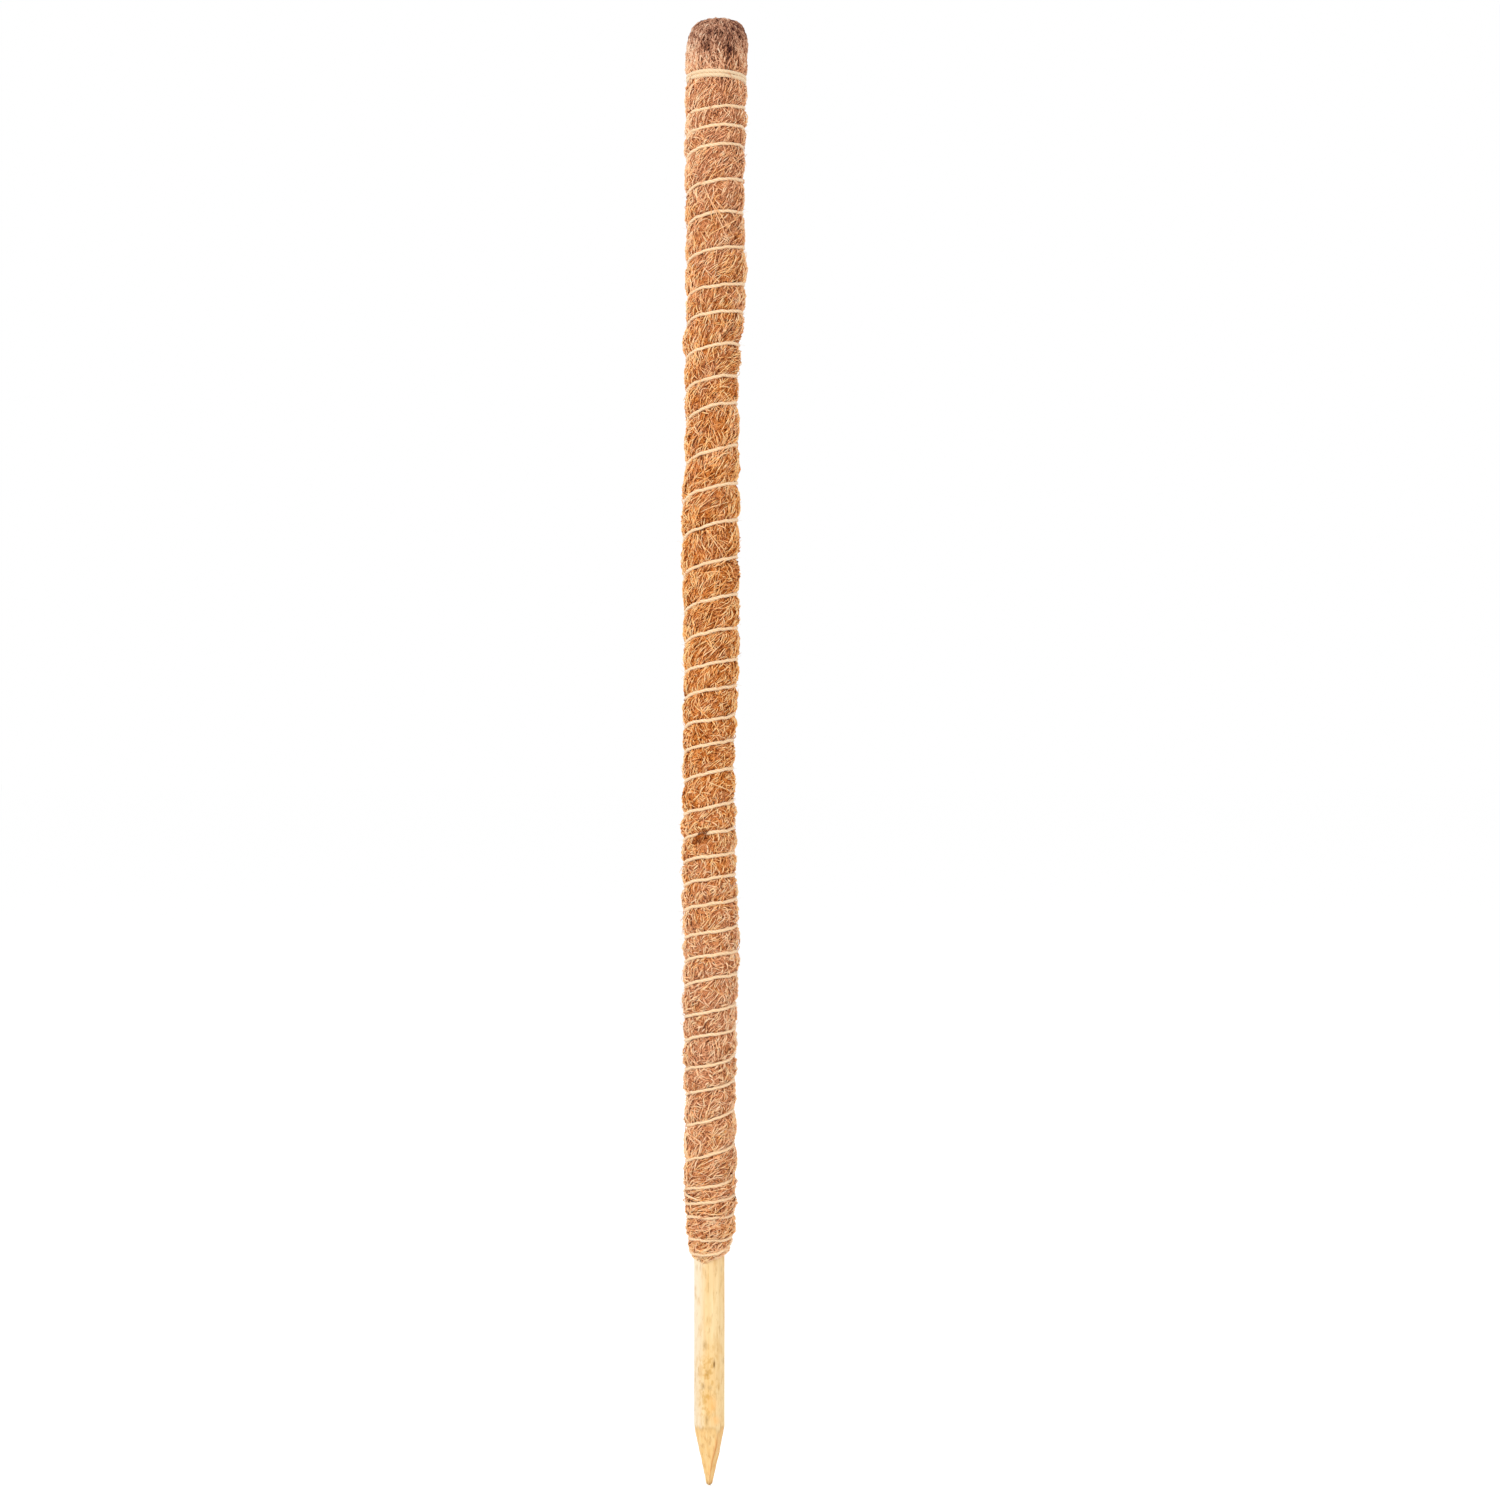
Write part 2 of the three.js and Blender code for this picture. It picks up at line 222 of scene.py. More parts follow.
TUFT_DROP = 2.4
SHOULDER_HEIGHT = 1.8
DOME_HEIGHT = 14.0
DOME_POWER = 2.9
CROWN_SHIFT = 0.8
LUMP_SIZE = 0.16
RIPPLE_SIZE = 0.12
LUMP_GAPS = (0.5, 2.5)  # distances from the twine at which lumps and ripples begin and are full
GRID_COLUMNS = 288
GRID_ROW = 0.25
GRID_LOW = -2.0
lumps = waves(seed=3, count=14, longest=30, shortest=7)
ripples = waves(seed=4, count=18, longest=8, shortest=2.5)
fullness = waves(seed=5, count=8, longest=60, shortest=16)
dome_start = crown_height - DOME_HEIGHT


def lip_height(angle):
    rise = LIP_RISE * bump_round(angle, 0.0, LIP_RISE_WIDTH)
    tuft = TUFT_DROP * bump_round(angle, TUFT_ANGLE, TUFT_WIDTH)
    return LIP_LOW + rise - tuft


def coir_middle(height):
    lean = CROWN_SHIFT * np.clip((height - dome_start) / DOME_HEIGHT, 0, 1)
    return eased(height, OUTLINE_HEIGHTS, OUTLINE_MIDDLES) + lean


def column_shape(angle, heights):
    """Radius of the coir up one line, and the distance to the nearest pass of the twine."""
    first = ((math.pi / 2 - angle) / (2 * math.pi)) % 1
    passes = turn_height(np.arange(first, LAST_TURN, 1))
    above = np.searchsorted(-passes, -heights)
    upper = passes[np.clip(above - 1, 0, len(passes) - 1)]
    lower = passes[np.clip(above, 0, len(passes) - 1)]
    between = (above > 0) & (above < len(passes))
    spacing = np.where(between, upper - lower, 1)
    share = np.where(between, (heights - lower) / spacing, 0)
    near_band = smooth_step((heights - band_height) / BAND_GROOVE_REACH + 1)
    depth = GROOVE_DEPTH * (1 - (1 - BAND_GROOVE) * near_band)
    rise = np.minimum(depth, RISE_RATIO * spacing) * (1 + RISE_SPREAD * fullness(angle, heights))
    bulge = np.where(between, 1 - np.abs(2 * share - 1) ** BULGE_POWER, 0)
    groove = eased(heights, OUTLINE_HEIGHTS, OUTLINE_RADII) - depth
    shoulder = smooth_step((heights - passes[0] - TWINE_RADIUS) / SHOULDER_HEIGHT)
    radius = np.where(above == 0, groove + depth * shoulder, groove + rise * bulge)
    edge = lip_height(angle)
    lip = np.clip((heights - edge) / np.maximum(passes[-1] - edge, LIP_ROUNDING), 0, 1)
    lip = np.sqrt(1 - (1 - lip) ** 2)
    radius = np.where(above == len(passes), LIP_RADIUS + (groove - LIP_RADIUS) * lip, radius)
    gap = np.minimum(np.abs(heights - upper), np.abs(heights - lower))
    uneven = LUMP_SIZE * lumps(angle, heights) + RIPPLE_SIZE * ripples(angle, heights)
    return radius + uneven * risen(gap, *LUMP_GAPS), gap


grid_heights = np.arange(GRID_LOW, dome_start + GRID_ROW, GRID_ROW)
grid_lines = [column_shape(angle, grid_heights) for angle in circle(GRID_COLUMNS)]
radius_grid, gap_grid = (np.array(lines) for lines in zip(*grid_lines))


def read_grid(grid, angle, height):
    column = (angle / (2 * math.pi) * GRID_COLUMNS) % GRID_COLUMNS
    row = np.clip((height - GRID_LOW) / GRID_ROW, 0, grid.shape[1] - 1.001)
    left = column.astype(int) % GRID_COLUMNS
    right = (left + 1) % GRID_COLUMNS
    low = row.astype(int)
    across = column - column.astype(int)
    up = row - low
    lower = grid[left, low] * (1 - across) + grid[right, low] * across
    upper = grid[left, low + 1] * (1 - across) + grid[right, low + 1] * across
    return lower * (1 - up) + upper * up


def coir_radius(angle, height):
    return read_grid(radius_grid, angle, np.minimum(height, dome_start))


def on_coir(angle, height, lift=0.0):
    """A point on the straight part of the coir, lifted off it."""
    angle = np.asarray(angle, float)
    height = np.asarray(height, float)
    return round_points(angle, height, coir_radius(angle, height) + lift, coir_middle(height))


def onto_coir(points):
    """The places on the coir, sleeve and cap, nearest to some points."""
    height = np.clip(points[..., 2], GRID_LOW, crown_height)
    aside = points[..., 0] - coir_middle(height)
    angle = np.arctan2(points[..., 1], aside)
    height = np.maximum(height, lip_height(angle))
    radius = coir_radius(angle, height)
    reach = np.hypot(aside, points[..., 1]) / radius
    climb = np.maximum(height - dome_start, 0) / DOME_HEIGHT
    size = np.maximum(reach**DOME_POWER + climb**DOME_POWER, 1e-6) ** (1 / DOME_POWER)
    on_dome = height > dome_start
    height = np.where(on_dome, dome_start + climb / size * DOME_HEIGHT, height)
    radius = np.where(on_dome, radius * reach / size, radius)
    return round_points(angle, height, radius, coir_middle(height))


def outward(points):
    """The direction straight out of the coir."""
    height = points[..., 2]
    aside = points[..., 0] - coir_middle(height)
    out = unit(np.stack([aside, points[..., 1], np.zeros_like(aside)], axis=-1))
    climb = np.clip((height - dome_start) / DOME_HEIGHT, 0, 1)
    reach = (1 - np.minimum(climb, 0.999) ** DOME_POWER) ** (1 / DOME_POWER)
    out = out * (reach ** (DOME_POWER - 1))[..., None]
    out[..., 2] = climb ** (DOME_POWER - 1)
    return unit(out)


def twine_freedom(points, reach):
    """0 at the twine and 1 further off than reach."""
    aside = points[..., 0] - coir_middle(points[..., 2])
    angle = np.arctan2(points[..., 1], aside)
    return smooth_step(read_grid(gap_grid, angle, points[..., 2]) / reach)


# Meshes
QUAD_STEPS = ((0, 0), (0, 1), (1, 1), (1, 0))  # a face's corners as steps along the rings and round them
STRIP_MARGIN = 0.06  # on the bake map, as a share of a strip's width
BAND_MARGIN = 0.02
MAP_MARGIN = 0.002
STRIP_SHAPE = 8  # rows of strips on the bake map for each column of them
STEEP = 0.85  # a tube that runs so straight out of the coir is turned by +Z instead


def make_object(name, points, corners, counts, map_places, material, marks):
    """An object from points in millimetres and faces as a run of corners."""
    mesh = bpy.data.meshes.new(name)
    mesh.vertices.add(len(points))
    mesh.vertices.foreach_set("co", (points * MM).astype(np.float32).ravel())
    mesh.loops.add(len(corners))
    mesh.loops.foreach_set("vertex_index", corners.astype(np.int32))
    mesh.polygons.add(len(counts))
    starts = np.concatenate([[0], np.cumsum(counts)[:-1]])
    mesh.polygons.foreach_set("loop_start", starts.astype(np.int32))
    mesh.polygons.foreach_set("use_smooth", np.full(len(counts), True))
    mesh.update(calc_edges=True)
    layer = mesh.uv_layers.new(name="OFBake")
    layer.uv.foreach_set("vector", map_places.astype(np.float32).ravel())
    for mark_name, values in marks.items():
        attribute = mesh.attributes.new(mark_name, "FLOAT", "POINT")
        attribute.data.foreach_set("value", values.astype(np.float32).ravel())
    mesh.validate()
    mesh.materials.append(material)
    piece = bpy.data.objects.new(name, mesh)
    bpy.context.scene.collection.objects.link(piece)
    return piece


def joined_quads(corner):
    """Corners and map places of faces, from a function that gives both for each step of a face."""
    quads = [corner(*steps) for steps in QUAD_STEPS]
    corners = np.stack([vertex for vertex, _ in quads], axis=-1).reshape(-1)
    return corners, np.stack([place for _, place in quads], axis=-2).reshape(-1, 2)


def strip_places(count, rings, sides):
    """Places on the bake map for tubes: each has its own strip, in as many rows as fill a square."""
    columns = max(1, round(math.sqrt(count / STRIP_SHAPE)))
    rows = math.ceil(count / columns)
    tube = np.arange(count)[:, None, None]
    along = np.arange(rings)[None, :, None] / (rings - 1)
    around = np.arange(sides + 1)[None, None, :] / sides
    across = (tube % columns + STRIP_MARGIN + (1 - 2 * STRIP_MARGIN) * along + 0 * around) / columns
    upward = (tube // columns + STRIP_MARGIN + (1 - 2 * STRIP_MARGIN) * around + 0 * along) / rows
    return np.stack([across, upward], axis=-1)


def tube_faces(count, rings, sides):
    """Corners, corner counts and map places of closed tubes with rings of so many sides."""
    places = strip_places(count, rings, sides)
    tube = np.arange(count)[:, None, None]
    ring = np.arange(rings - 1)[None, :, None]
    side = np.arange(sides)[None, None, :]

    def corner(ring_step, side_step):
        vertex = (tube * rings + ring + ring_step) * sides + (side + side_step) % sides
        return vertex, places[:, ring + ring_step, side + side_step][:, 0]

    corners, spots = joined_quads(corner)
    first = (np.arange(count)[:, None] * rings) * sides + np.arange(sides)[None, ::-1]
    last = (np.arange(count)[:, None] * rings + rings - 1) * sides + np.arange(sides)[None, :]
    ends = np.concatenate([first, last]).reshape(-1)
    end_spots = np.concatenate([places[:, 0, :sides], places[:, -1, :sides]]).reshape(-1, 2)
    counts = np.concatenate([np.full(count * (rings - 1) * sides, 4), np.full(2 * count, sides)])
    return np.concatenate([corners, ends]), counts, np.concatenate([spots, end_spots])


def make_tubes(name, paths, radii, sides, material, marks):
    """One object of many closed tubes: paths (tube, ring, xyz), radii and marks (tube, ring)."""
    count, rings = paths.shape[:2]
    ahead = unit(np.gradient(paths, axis=1))
    out = outward(paths)
    steep = np.abs(dot(out, ahead)).max(axis=1, keepdims=True) > STEEP
    out = np.where(steep, np.array([0.0, 0.0, 1.0]), out)
    out = unit(out - ahead * dot(out, ahead))
    across = np.cross(ahead, out)
    turns = circle(sides)
    spread = out[:, :, None] * np.cos(turns)[:, None] + across[:, :, None] * np.sin(turns)[:, None]
    points = paths[:, :, None] + spread * radii[:, :, None, None]
    spread_marks = {key: np.repeat(values.reshape(-1), sides) for key, values in marks.items()}
    return make_object(
        name, points.reshape(-1, 3), *tube_faces(count, rings, sides), material, spread_marks
    )


def make_skin(name, rings, material, closed, bands, marks, margin=BAND_MARGIN, stacked=False):
    """A skin over rings (ring, corner, xyz). closed joins the last ring to the first one, and otherwise
    each end gets a face. On the bake map the rings are cut into so many bands, which lie side by side, or
    one above the other where stacked is true."""
    count, sides = rings.shape[:2]
    spans = count if closed else count - 1
    ring = np.arange(spans)[:, None]
    side = np.arange(sides)[None, :]
    band_rings = math.ceil(spans / bands)

    def corner(ring_step, side_step):
        vertex = ((ring + ring_step) % count) * sides + (side + side_step) % sides
        band = ring // band_rings
        across = (band + margin + (1 - 2 * margin) * (side + side_step) / sides) / bands
        upward = (ring - band * band_rings + ring_step + 0 * side) / band_rings
        return vertex, np.stack([across, MAP_MARGIN + (1 - 2 * MAP_MARGIN) * upward], axis=-1)

    corners, places = joined_quads(corner)
    counts = np.full(spans * sides, 4)
    if not closed:
        last = (count - 1) * sides
        corners = np.concatenate([corners, np.arange(sides)[::-1], last + np.arange(sides)])
        places = np.concatenate([places, np.zeros((2 * sides, 2))])
        counts = np.concatenate([counts, [sides, sides]])
    if stacked:
        places = places[:, ::-1]
    return make_object(name, rings.reshape(-1, 3), corners, counts, places, material, marks)


# Nodes of the materials. Colours are written as screen colours, 0 to 255.
def colour(red, green, blue):
    """A screen colour as the shader wants it."""
    shares = np.array([red, green, blue]) / 255
    linear = np.where(shares <= 0.04045, shares / 12.92, ((shares + 0.055) / 1.055) ** 2.4)
    return (*linear, 1.0)


def set_inputs(tree, made, inputs):
    """Links each input to a socket, or gives it a value."""
    for key, value in inputs.items():
        if isinstance(value, bpy.types.NodeSocket):
            tree.links.new(value, made.inputs[key])
        else:
            made.inputs[key].default_value = value


def add_node(tree, kind, inputs=None, **settings):
    made = tree.nodes.new(kind)
    for key, value in settings.items():
        setattr(made, key, value)
    set_inputs(tree, made, inputs or {})
    return made


def fresh_tree(holder, output_kind):
    """The emptied node tree of a material or world, and the surface socket of its new output."""
    holder.use_nodes = True
    tree = holder.node_tree
    tree.nodes.clear()
    return tree, add_node(tree, output_kind).inputs["Surface"]


def new_material(name):
    material = bpy.data.materials.new(name)
    tree, surface = fresh_tree(material, "ShaderNodeOutputMaterial")
    shader = add_node(tree, "ShaderNodeBsdfPrincipled")
    tree.links.new(shader.outputs["BSDF"], surface)
    return material, tree, shader


def ramp(tree, factor, stops):
    """Shares or colours at given places, and between them what lies between."""
    made = add_node(tree, "ShaderNodeValToRGB", {"Fac": factor})
    band = made.color_ramp
    while len(band.elements) < len(stops):
        band.elements.new(0.5)
    for element, (place, value) in zip(band.elements, stops):
        element.position = place
        element.color = colour(*value) if isinstance(value, tuple) else (value, value, value, 1.0)
    return made.outputs["Color"]


def fade(tree, factor, places, shares=(0.0, 1.0)):
    return ramp(tree, factor, list(zip(places, shares)))


def mix(tree, factor, first, second):
    made = add_node(tree, "ShaderNodeMix", {0: factor, 6: first, 7: second}, data_type="RGBA")
    return made.outputs[2]


def painted(tree, base, layers):
    """A colour with others laid over it, each by its own mask."""
    for mask, shade in layers:
        base = mix(tree, mask, base, colour(*shade))
    return base


def sums(tree, operation, first, second, third=0.0):
    inputs = {0: first, 1: second, 2: third}
    return add_node(tree, "ShaderNodeMath", inputs, operation=operation).outputs[0]


def mark(tree, name):
    """A value that the mesh holds at each of its points."""
    return add_node(tree, "ShaderNodeAttribute", attribute_name=name).outputs["Fac"]


def noise(tree, place, scale, detail=3.0, upward=1.0):
    """Noise over the object, with its scale in repeats to a millimetre, and upward so many times that."""
    scales = [scale / MM, scale / MM, scale / MM * upward]
    mapping = add_node(tree, "ShaderNodeMapping", {"Vector": place, "Scale": scales})
    inputs = {"Vector": mapping.outputs[0], "Scale": 1.0, "Detail": detail}
    return add_node(tree, "ShaderNodeTexNoise", inputs).outputs["Fac"]


def object_place(tree):
    return add_node(tree, "ShaderNodeTexCoord").outputs["Object"]


def place_height(tree, place):
    return add_node(tree, "ShaderNodeSeparateXYZ", {0: place}).outputs["Z"]


def twisted(tree, place, slant):
    """Places turned about the pole as they rise, so that noise stretched upward runs at a slant round it."""
    turn = -1 / (math.tan(slant) * COIR_RADIUS * MM)
    inputs = {"Vector": place, "Angle": sums(tree, "MULTIPLY", place_height(tree, place), turn)}
    return add_node(tree, "ShaderNodeVectorRotate", inputs, rotation_type="Z_AXIS").outputs[0]


def height_share(tree, place):
    """0 at the tip and 1 at the crown."""
    ends = {"From Min": tip_height * MM, "From Max": crown_height * MM}
    inputs = {"Value": place_height(tree, place), **ends}
    return add_node(tree, "ShaderNodeMapRange", inputs).outputs["Result"]


def at_height(height):
    return (height - tip_height) / (crown_height - tip_height)


def set_surface(tree, shader, shade, relief, roughness, strength, depth, specular):
    """Gives a shader its colour, its relief with a depth in millimetres, its roughness and its gloss."""
    bump = add_node(tree, "ShaderNodeBump", {"Height": relief, "Strength": strength, "Distance": depth * MM})
    looks = {"Base Color": shade, "Normal": bump.outputs[0], "Roughness": roughness}
    set_inputs(tree, shader, {**looks, "Specular IOR Level": specular})


# Coir materials. Coir is redder and paler near both ends, more orange in the middle and mauve on the crown.
COIR_PALENESS = [  # by height
    (0, 0.6), (40, 0.7), (90, 1.0), (115, 0.9), (150, 0.45), (190, 0.15), (220, 0.0), (300, 0.0),
    (340, 0.2), (400, 0.45), (450, 1.0),
]
# Colours from the darkest fibre to the lightest
ORANGE_COIR = [(94, 38, 3), (178, 92, 27), (242, 161, 84), (255, 197, 127), (255, 215, 157)]
PALE_COIR = [(90, 50, 38), (179, 114, 74), (238, 172, 128), (255, 204, 158), (255, 222, 184)]
MAUVE_COIR = [(98, 56, 46), (158, 108, 82), (200, 150, 121), (218, 178, 149), (234, 206, 180)]
MAUVE_HEIGHTS = (478.0, 500.0)
BLUSH_SPREAD = 0.9  # how far single fibres stray from the colour of their height
PATCH_SPREAD = 0.7  # and whole patches of them
FIBRE_SPECKS_AND_SHADE = 1.1  # light and dark specks along each fibre: partly uneven tone, partly painted shade for the fibres that cross it
COIR_GLOSS = 0.1
STRAND_STRETCH = 0.06


def coir_colour(tree, tone, place, blush=None):
    height = height_share(tree, place)
    paleness = ramp(tree, height, [(at_height(level), share) for level, share in COIR_PALENESS])
    patches = fade(tree, noise(tree, place, 0.12, 2.0), (0.3, 0.7), (0.0, PATCH_SPREAD))
    paleness = sums(tree, "ADD", paleness, sums(tree, "SUBTRACT", patches, PATCH_SPREAD / 2))
    if blush is not None:
        paleness = sums(tree, "ADD", paleness, sums(tree, "MULTIPLY", blush, BLUSH_SPREAD))
    orange, pale, mauve = (
        fade(tree, tone, np.linspace(0, 1, len(shades)), shades)
        for shades in (ORANGE_COIR, PALE_COIR, MAUVE_COIR)
    )
    on_crown = fade(tree, height, [at_height(level) for level in MAUVE_HEIGHTS])
    return mix(tree, on_crown, mix(tree, paleness, orange, pale), mauve)


def fibre_material():
    material, tree, shader = new_material("coir_fibre")
    place = object_place(tree)
    speckle = noise(tree, place, 1.2)
    # Specks of uneven tone, with painted shade standing in for the shadows of crossing fibres.
    uneven = sums(tree, "MULTIPLY_ADD", speckle, FIBRE_SPECKS_AND_SHADE, -FIBRE_SPECKS_AND_SHADE / 2)
    tone = sums(tree, "ADD", mark(tree, "tone"), uneven)
    shade = coir_colour(tree, tone, place, mark(tree, "blush"))
    roughness = fade(tree, speckle, (0.3, 0.7), (0.48, 0.68))
    relief = noise(tree, place, 6.0)
    set_surface(tree, shader, shade, relief, roughness, strength=0.25, depth=0.05, specular=COIR_GLOSS)
    return material


def mat_material():
    """The mat under the fibres: strands that cross, with painted shade as dark pits between them. Its shade
    mark adds the painted shade of hollows and the painted light at its lower edge.
    """
    material, tree, shader = new_material("coir_mat")
    place = object_place(tree)
    slanted = noise(tree, twisted(tree, place, math.radians(50)), 3.2, 3.0, STRAND_STRETCH)
    crossed = noise(tree, twisted(tree, place, math.radians(-40)), 2.8, 3.0, STRAND_STRETCH)
    strands = sums(tree, "MAXIMUM", slanted, crossed)
    streaks = ramp(tree, strands, [(0.42, 0.1), (0.56, 0.36), (0.7, 0.6)])
    painted_pit_shade = fade(tree, noise(tree, place, 1.3), (0.36, 0.46))
    # The mat's tone: painted shade in its pits and from its shade mark.
    tone = sums(tree, "SUBTRACT", sums(tree, "MULTIPLY", streaks, painted_pit_shade), mark(tree, "shade"))
    roughness = fade(tree, crossed, (0.3, 0.7), (0.8, 0.95))
    shade = coir_colour(tree, tone, place)
    set_surface(tree, shader, shade, strands, roughness, strength=0.8, depth=0.4, specular=COIR_GLOSS)
    return material


def twine_material():
    """Cream cotton, with painted shade in the creases between its plies, and with worn patches and fluff."""
    material, tree, shader = new_material("cotton_twine")
    place = object_place(tree)
    fluff = noise(tree, place, 2.5)
    patches = noise(tree, place, 0.12, 2.0)
    # Painted shade: darker in the creases between the plies, lighter on their crests.
    painted_crease_shades = [(0.0, (214, 170, 122)), (0.45, (238, 202, 157)), (1.0, (247, 219, 185))]
    layers = [
        (mark(tree, "pale"), (216, 195, 163)),
        (fade(tree, patches, (0.35, 0.7), (0.0, 0.5)), (232, 192, 144)),
        (fade(tree, fluff, (0.4, 0.75), (0.0, 0.4)), (224, 186, 136)),
    ]
    shade = painted(tree, ramp(tree, mark(tree, "painted_crease_shade"), painted_crease_shades), layers)
    roughness = fade(tree, fluff, (0.3, 0.7), (0.8, 0.95))
    relief = noise(tree, place, 7.0, 4.0)
    set_surface(tree, shader, shade, relief, roughness, strength=0.5, depth=0.1, specular=0.25)
    shader.inputs["Sheen Weight"].default_value = 0.4
    return material


def old_wood(tree, place, grain, blotches, flecks):
    """Pale wood with grain, aged patches, a paler stripe down the left side, blotches, flecks and curly
    grain.
    """
    streaks = noise(tree, place, 0.35, 3.0, 0.02)
    patches = noise(tree, place, 0.09, 3.0, 0.5)
    pale_stripe = sums(tree, "ADD", mark(tree, "pale_stripe"), sums(tree, "SUBTRACT", patches, 0.5))
    figure = mark(tree, "figure")
    curls = fade(tree, noise(tree, place, 0.75, 4.0, 0.55), (0.5, 0.62), (0.0, 0.75))
    base = [(0.3, (234, 202, 147)), (0.55, (239, 211, 159)), (0.75, (242, 219, 173))]
    layers = [
        (fade(tree, grain, (0.45, 0.72), (0.0, 0.55)), (218, 172, 108)),
        (fade(tree, patches, (0.42, 0.7), (0.0, 0.5)), (230, 184, 116)),
        (fade(tree, pale_stripe, (0.0, 1.0), (0.0, 0.8)), (233, 219, 193)),
        (fade(tree, blotches, (0.52, 0.7), (0.0, 0.5)), (214, 168, 100)),
        (fade(tree, flecks, (0.74, 0.86), (0.0, 0.5)), (180, 134, 76)),
        (sums(tree, "MULTIPLY", figure, 0.35), (234, 186, 108)),
        (sums(tree, "MULTIPLY", figure, curls), (204, 154, 70)),
    ]
    return painted(tree, ramp(tree, streaks, base), layers)


def fresh_wood(tree, grain, flecks):
    """The warmer wood of fresh cuts, each facet in its own tone, with dark ridges between them."""
    facets = sums(tree, "MULTIPLY", mark(tree, "facet"), 0.35)
    tone = sums(tree, "ADD", sums(tree, "MULTIPLY", grain, 0.8), facets)
    base = [(0.3, (240, 208, 150)), (0.55, (234, 192, 126)), (0.8, (218, 162, 96))]
    layers = [
        (fade(tree, flecks, (0.7, 0.82), (0.0, 0.5)), (198, 144, 80)),
        (mark(tree, "ridge"), (204, 132, 66)),
    ]
    return painted(tree, ramp(tree, tone, base), layers)


def wood_material():
    material, tree, shader = new_material("pale_wood")
    place = object_place(tree)
    grain = noise(tree, place, 0.9, 5.0, 0.03)
    blotches = noise(tree, place, 0.45, 4.0, 0.35)
    flecks = sums(tree, "MULTIPLY_ADD", blotches, 0.3, noise(tree, place, 1.3, 3.0, 0.16))
    broken = fade(tree, noise(tree, place, 1.6, 3.0, 0.4), (0.35, 0.6), (0.45, 1.0))
    old = old_wood(tree, place, grain, blotches, flecks)
    layers = [
        (mark(tree, "warm"), (248, 184, 108)),
        (sums(tree, "MULTIPLY", mark(tree, "spot"), broken), (132, 92, 32)),
    ]
    shade = painted(tree, mix(tree, mark(tree, "cut"), old, fresh_wood(tree, grain, flecks)), layers)
    roughness = fade(tree, grain, (0.3, 0.7), (0.5, 0.72))
    set_surface(tree, shader, shade, grain, roughness, strength=0.35, depth=0.2, specular=0.3)
    return material


fibre_look = fibre_material()
mat_look = mat_material()
twine_look = twine_material()
wood_look = wood_material()

# Stake: a dowel with grain on it, whittled to a point
POINT_LENGTH = 25.0
TIP_RADIUS = 0.9
TIP_ROUNDING = 0.8
CUT_ANGLES = [-100, -14, 42, 92, 140, 195]  # degrees round the stake
CUT_TWIST = -30.0  # degrees by which the cuts have turned at the tip
CUT_TONES = [0.3, 0.6, 0.4, 0.2, 0.7, 0.4]
CUT_FLATNESS = 0.75  # near the tip: 0 is a cone and 1 is flat cuts
CUT_UNEVENNESS = 0.1
SHOULDER_FLATNESS = 0.1  # where the cuts begin
SHOULDER_REACH = 9.0
WOOD_INSET = 0.05  # the dowel's skin lies this far inside the solid
GRAIN_RELIEF = 0.035
GRAIN_STRETCH = 0.04
RIDGE_WIDTH = 0.12
RIDGE_SHADE = 0.8
RIDGE_SIDE = math.radians(-65)  # the one dark ridge between two cuts
RIDGE_REACH = math.radians(40)
# A paler stripe runs down the left side of the wood.
PALE_STRIPE_SIDE = math.radians(-172)
FIGURE_SIDE = math.radians(-96)  # curly grain low on the front
FIGURE_WIDTH = math.radians(40)
FIGURE_HEIGHT = -49.0
FIGURE_REACH = 15.0
# Marks on the wood: angle in degrees, height, half width, half height and strength
DARK_SPOTS = [
    (-106, -33.1, 0.9, 1.7, 0.5),
    (-71, -40.6, 0.36, 1.5, 1.6),
    (-97, -44.0, 0.7, 1.8, 0.35),
    (-114, -49.8, 0.9, 1.3, 0.7),
    (-88, -50.2, 0.8, 1.0, 0.45),
    (-99, -63.6, 0.6, 2.0, 0.55),
]
WARM_PATCHES = [
    (-80, -57.2, 1.7, 2.8, 0.7),
    (-64, -63.8, 1.7, 1.8, 0.6),
    (-95, -84.5, 1.2, 2.0, 0.6),
]
SPOT_COUNT = 22  # more dark spots on the sides and the back, in these ranges
SPOT_RANGES = [(-40, 220), (tip_height + 12, 0), (0.3, 0.8), (0.9, 2.2), (0.25, 0.7)]
EDGE_DIRT = 0.2  # along the edge where the cuts begin
EDGE_DIRT_PLACE = 0.12
EDGE_DIRT_WIDTH = 0.14
TIP_DIRT = 0.6
TIP_DIRT_HEIGHT = 2.6
FRESH_DEPTHS = (-0.12, 0.28)  # depths of a cut between which the wood turns fresh
PALE_STRIPE_FACINGS = (0.2, 1.0)  # cosines from the edge of the paler stripe to its middle
STAKE_COLUMNS = 128
TIP_RINGS = np.linspace(0.25, 1.0, 6)  # shares of a quarter turn round the tip
# More rings, close at the point and wide apart inside the coir: first height, last height and count
STAKE_RINGS = [
    (tip_height + 1.2, tip_height + POINT_LENGTH + 3, 84),
    (tip_height + POINT_LENGTH + 3.5, 2, 140),
    (12, stake_top, 26),
]
STAKE_MAP_BANDS = 4
grain_ridges = waves(seed=21, count=24, longest=3.0, shortest=0.9)
hand_cuts = waves(seed=22, count=10, longest=12, shortest=4)


def wood_marks(rows, angle, height):
    total = np.zeros_like(angle)
    for degrees, middle, half_width, half_height, strength in rows:
        aside = stake_radius * np.angle(np.exp(1j * (angle - math.radians(degrees)))) / half_width
        total = np.maximum(total, strength * np.exp(-(aside**2) - ((height - middle) / half_height) ** 2))
    return total


def more_spots(seed):
    rng = np.random.default_rng(seed)
    return list(zip(*[rng.uniform(*span, SPOT_COUNT) for span in SPOT_RANGES]))


def stake_heights():
    tip = tip_height + TIP_ROUNDING * (1 - np.cos(TIP_RINGS * math.pi / 2))
    return np.concatenate([tip, *[np.linspace(*row) for row in STAKE_RINGS]])


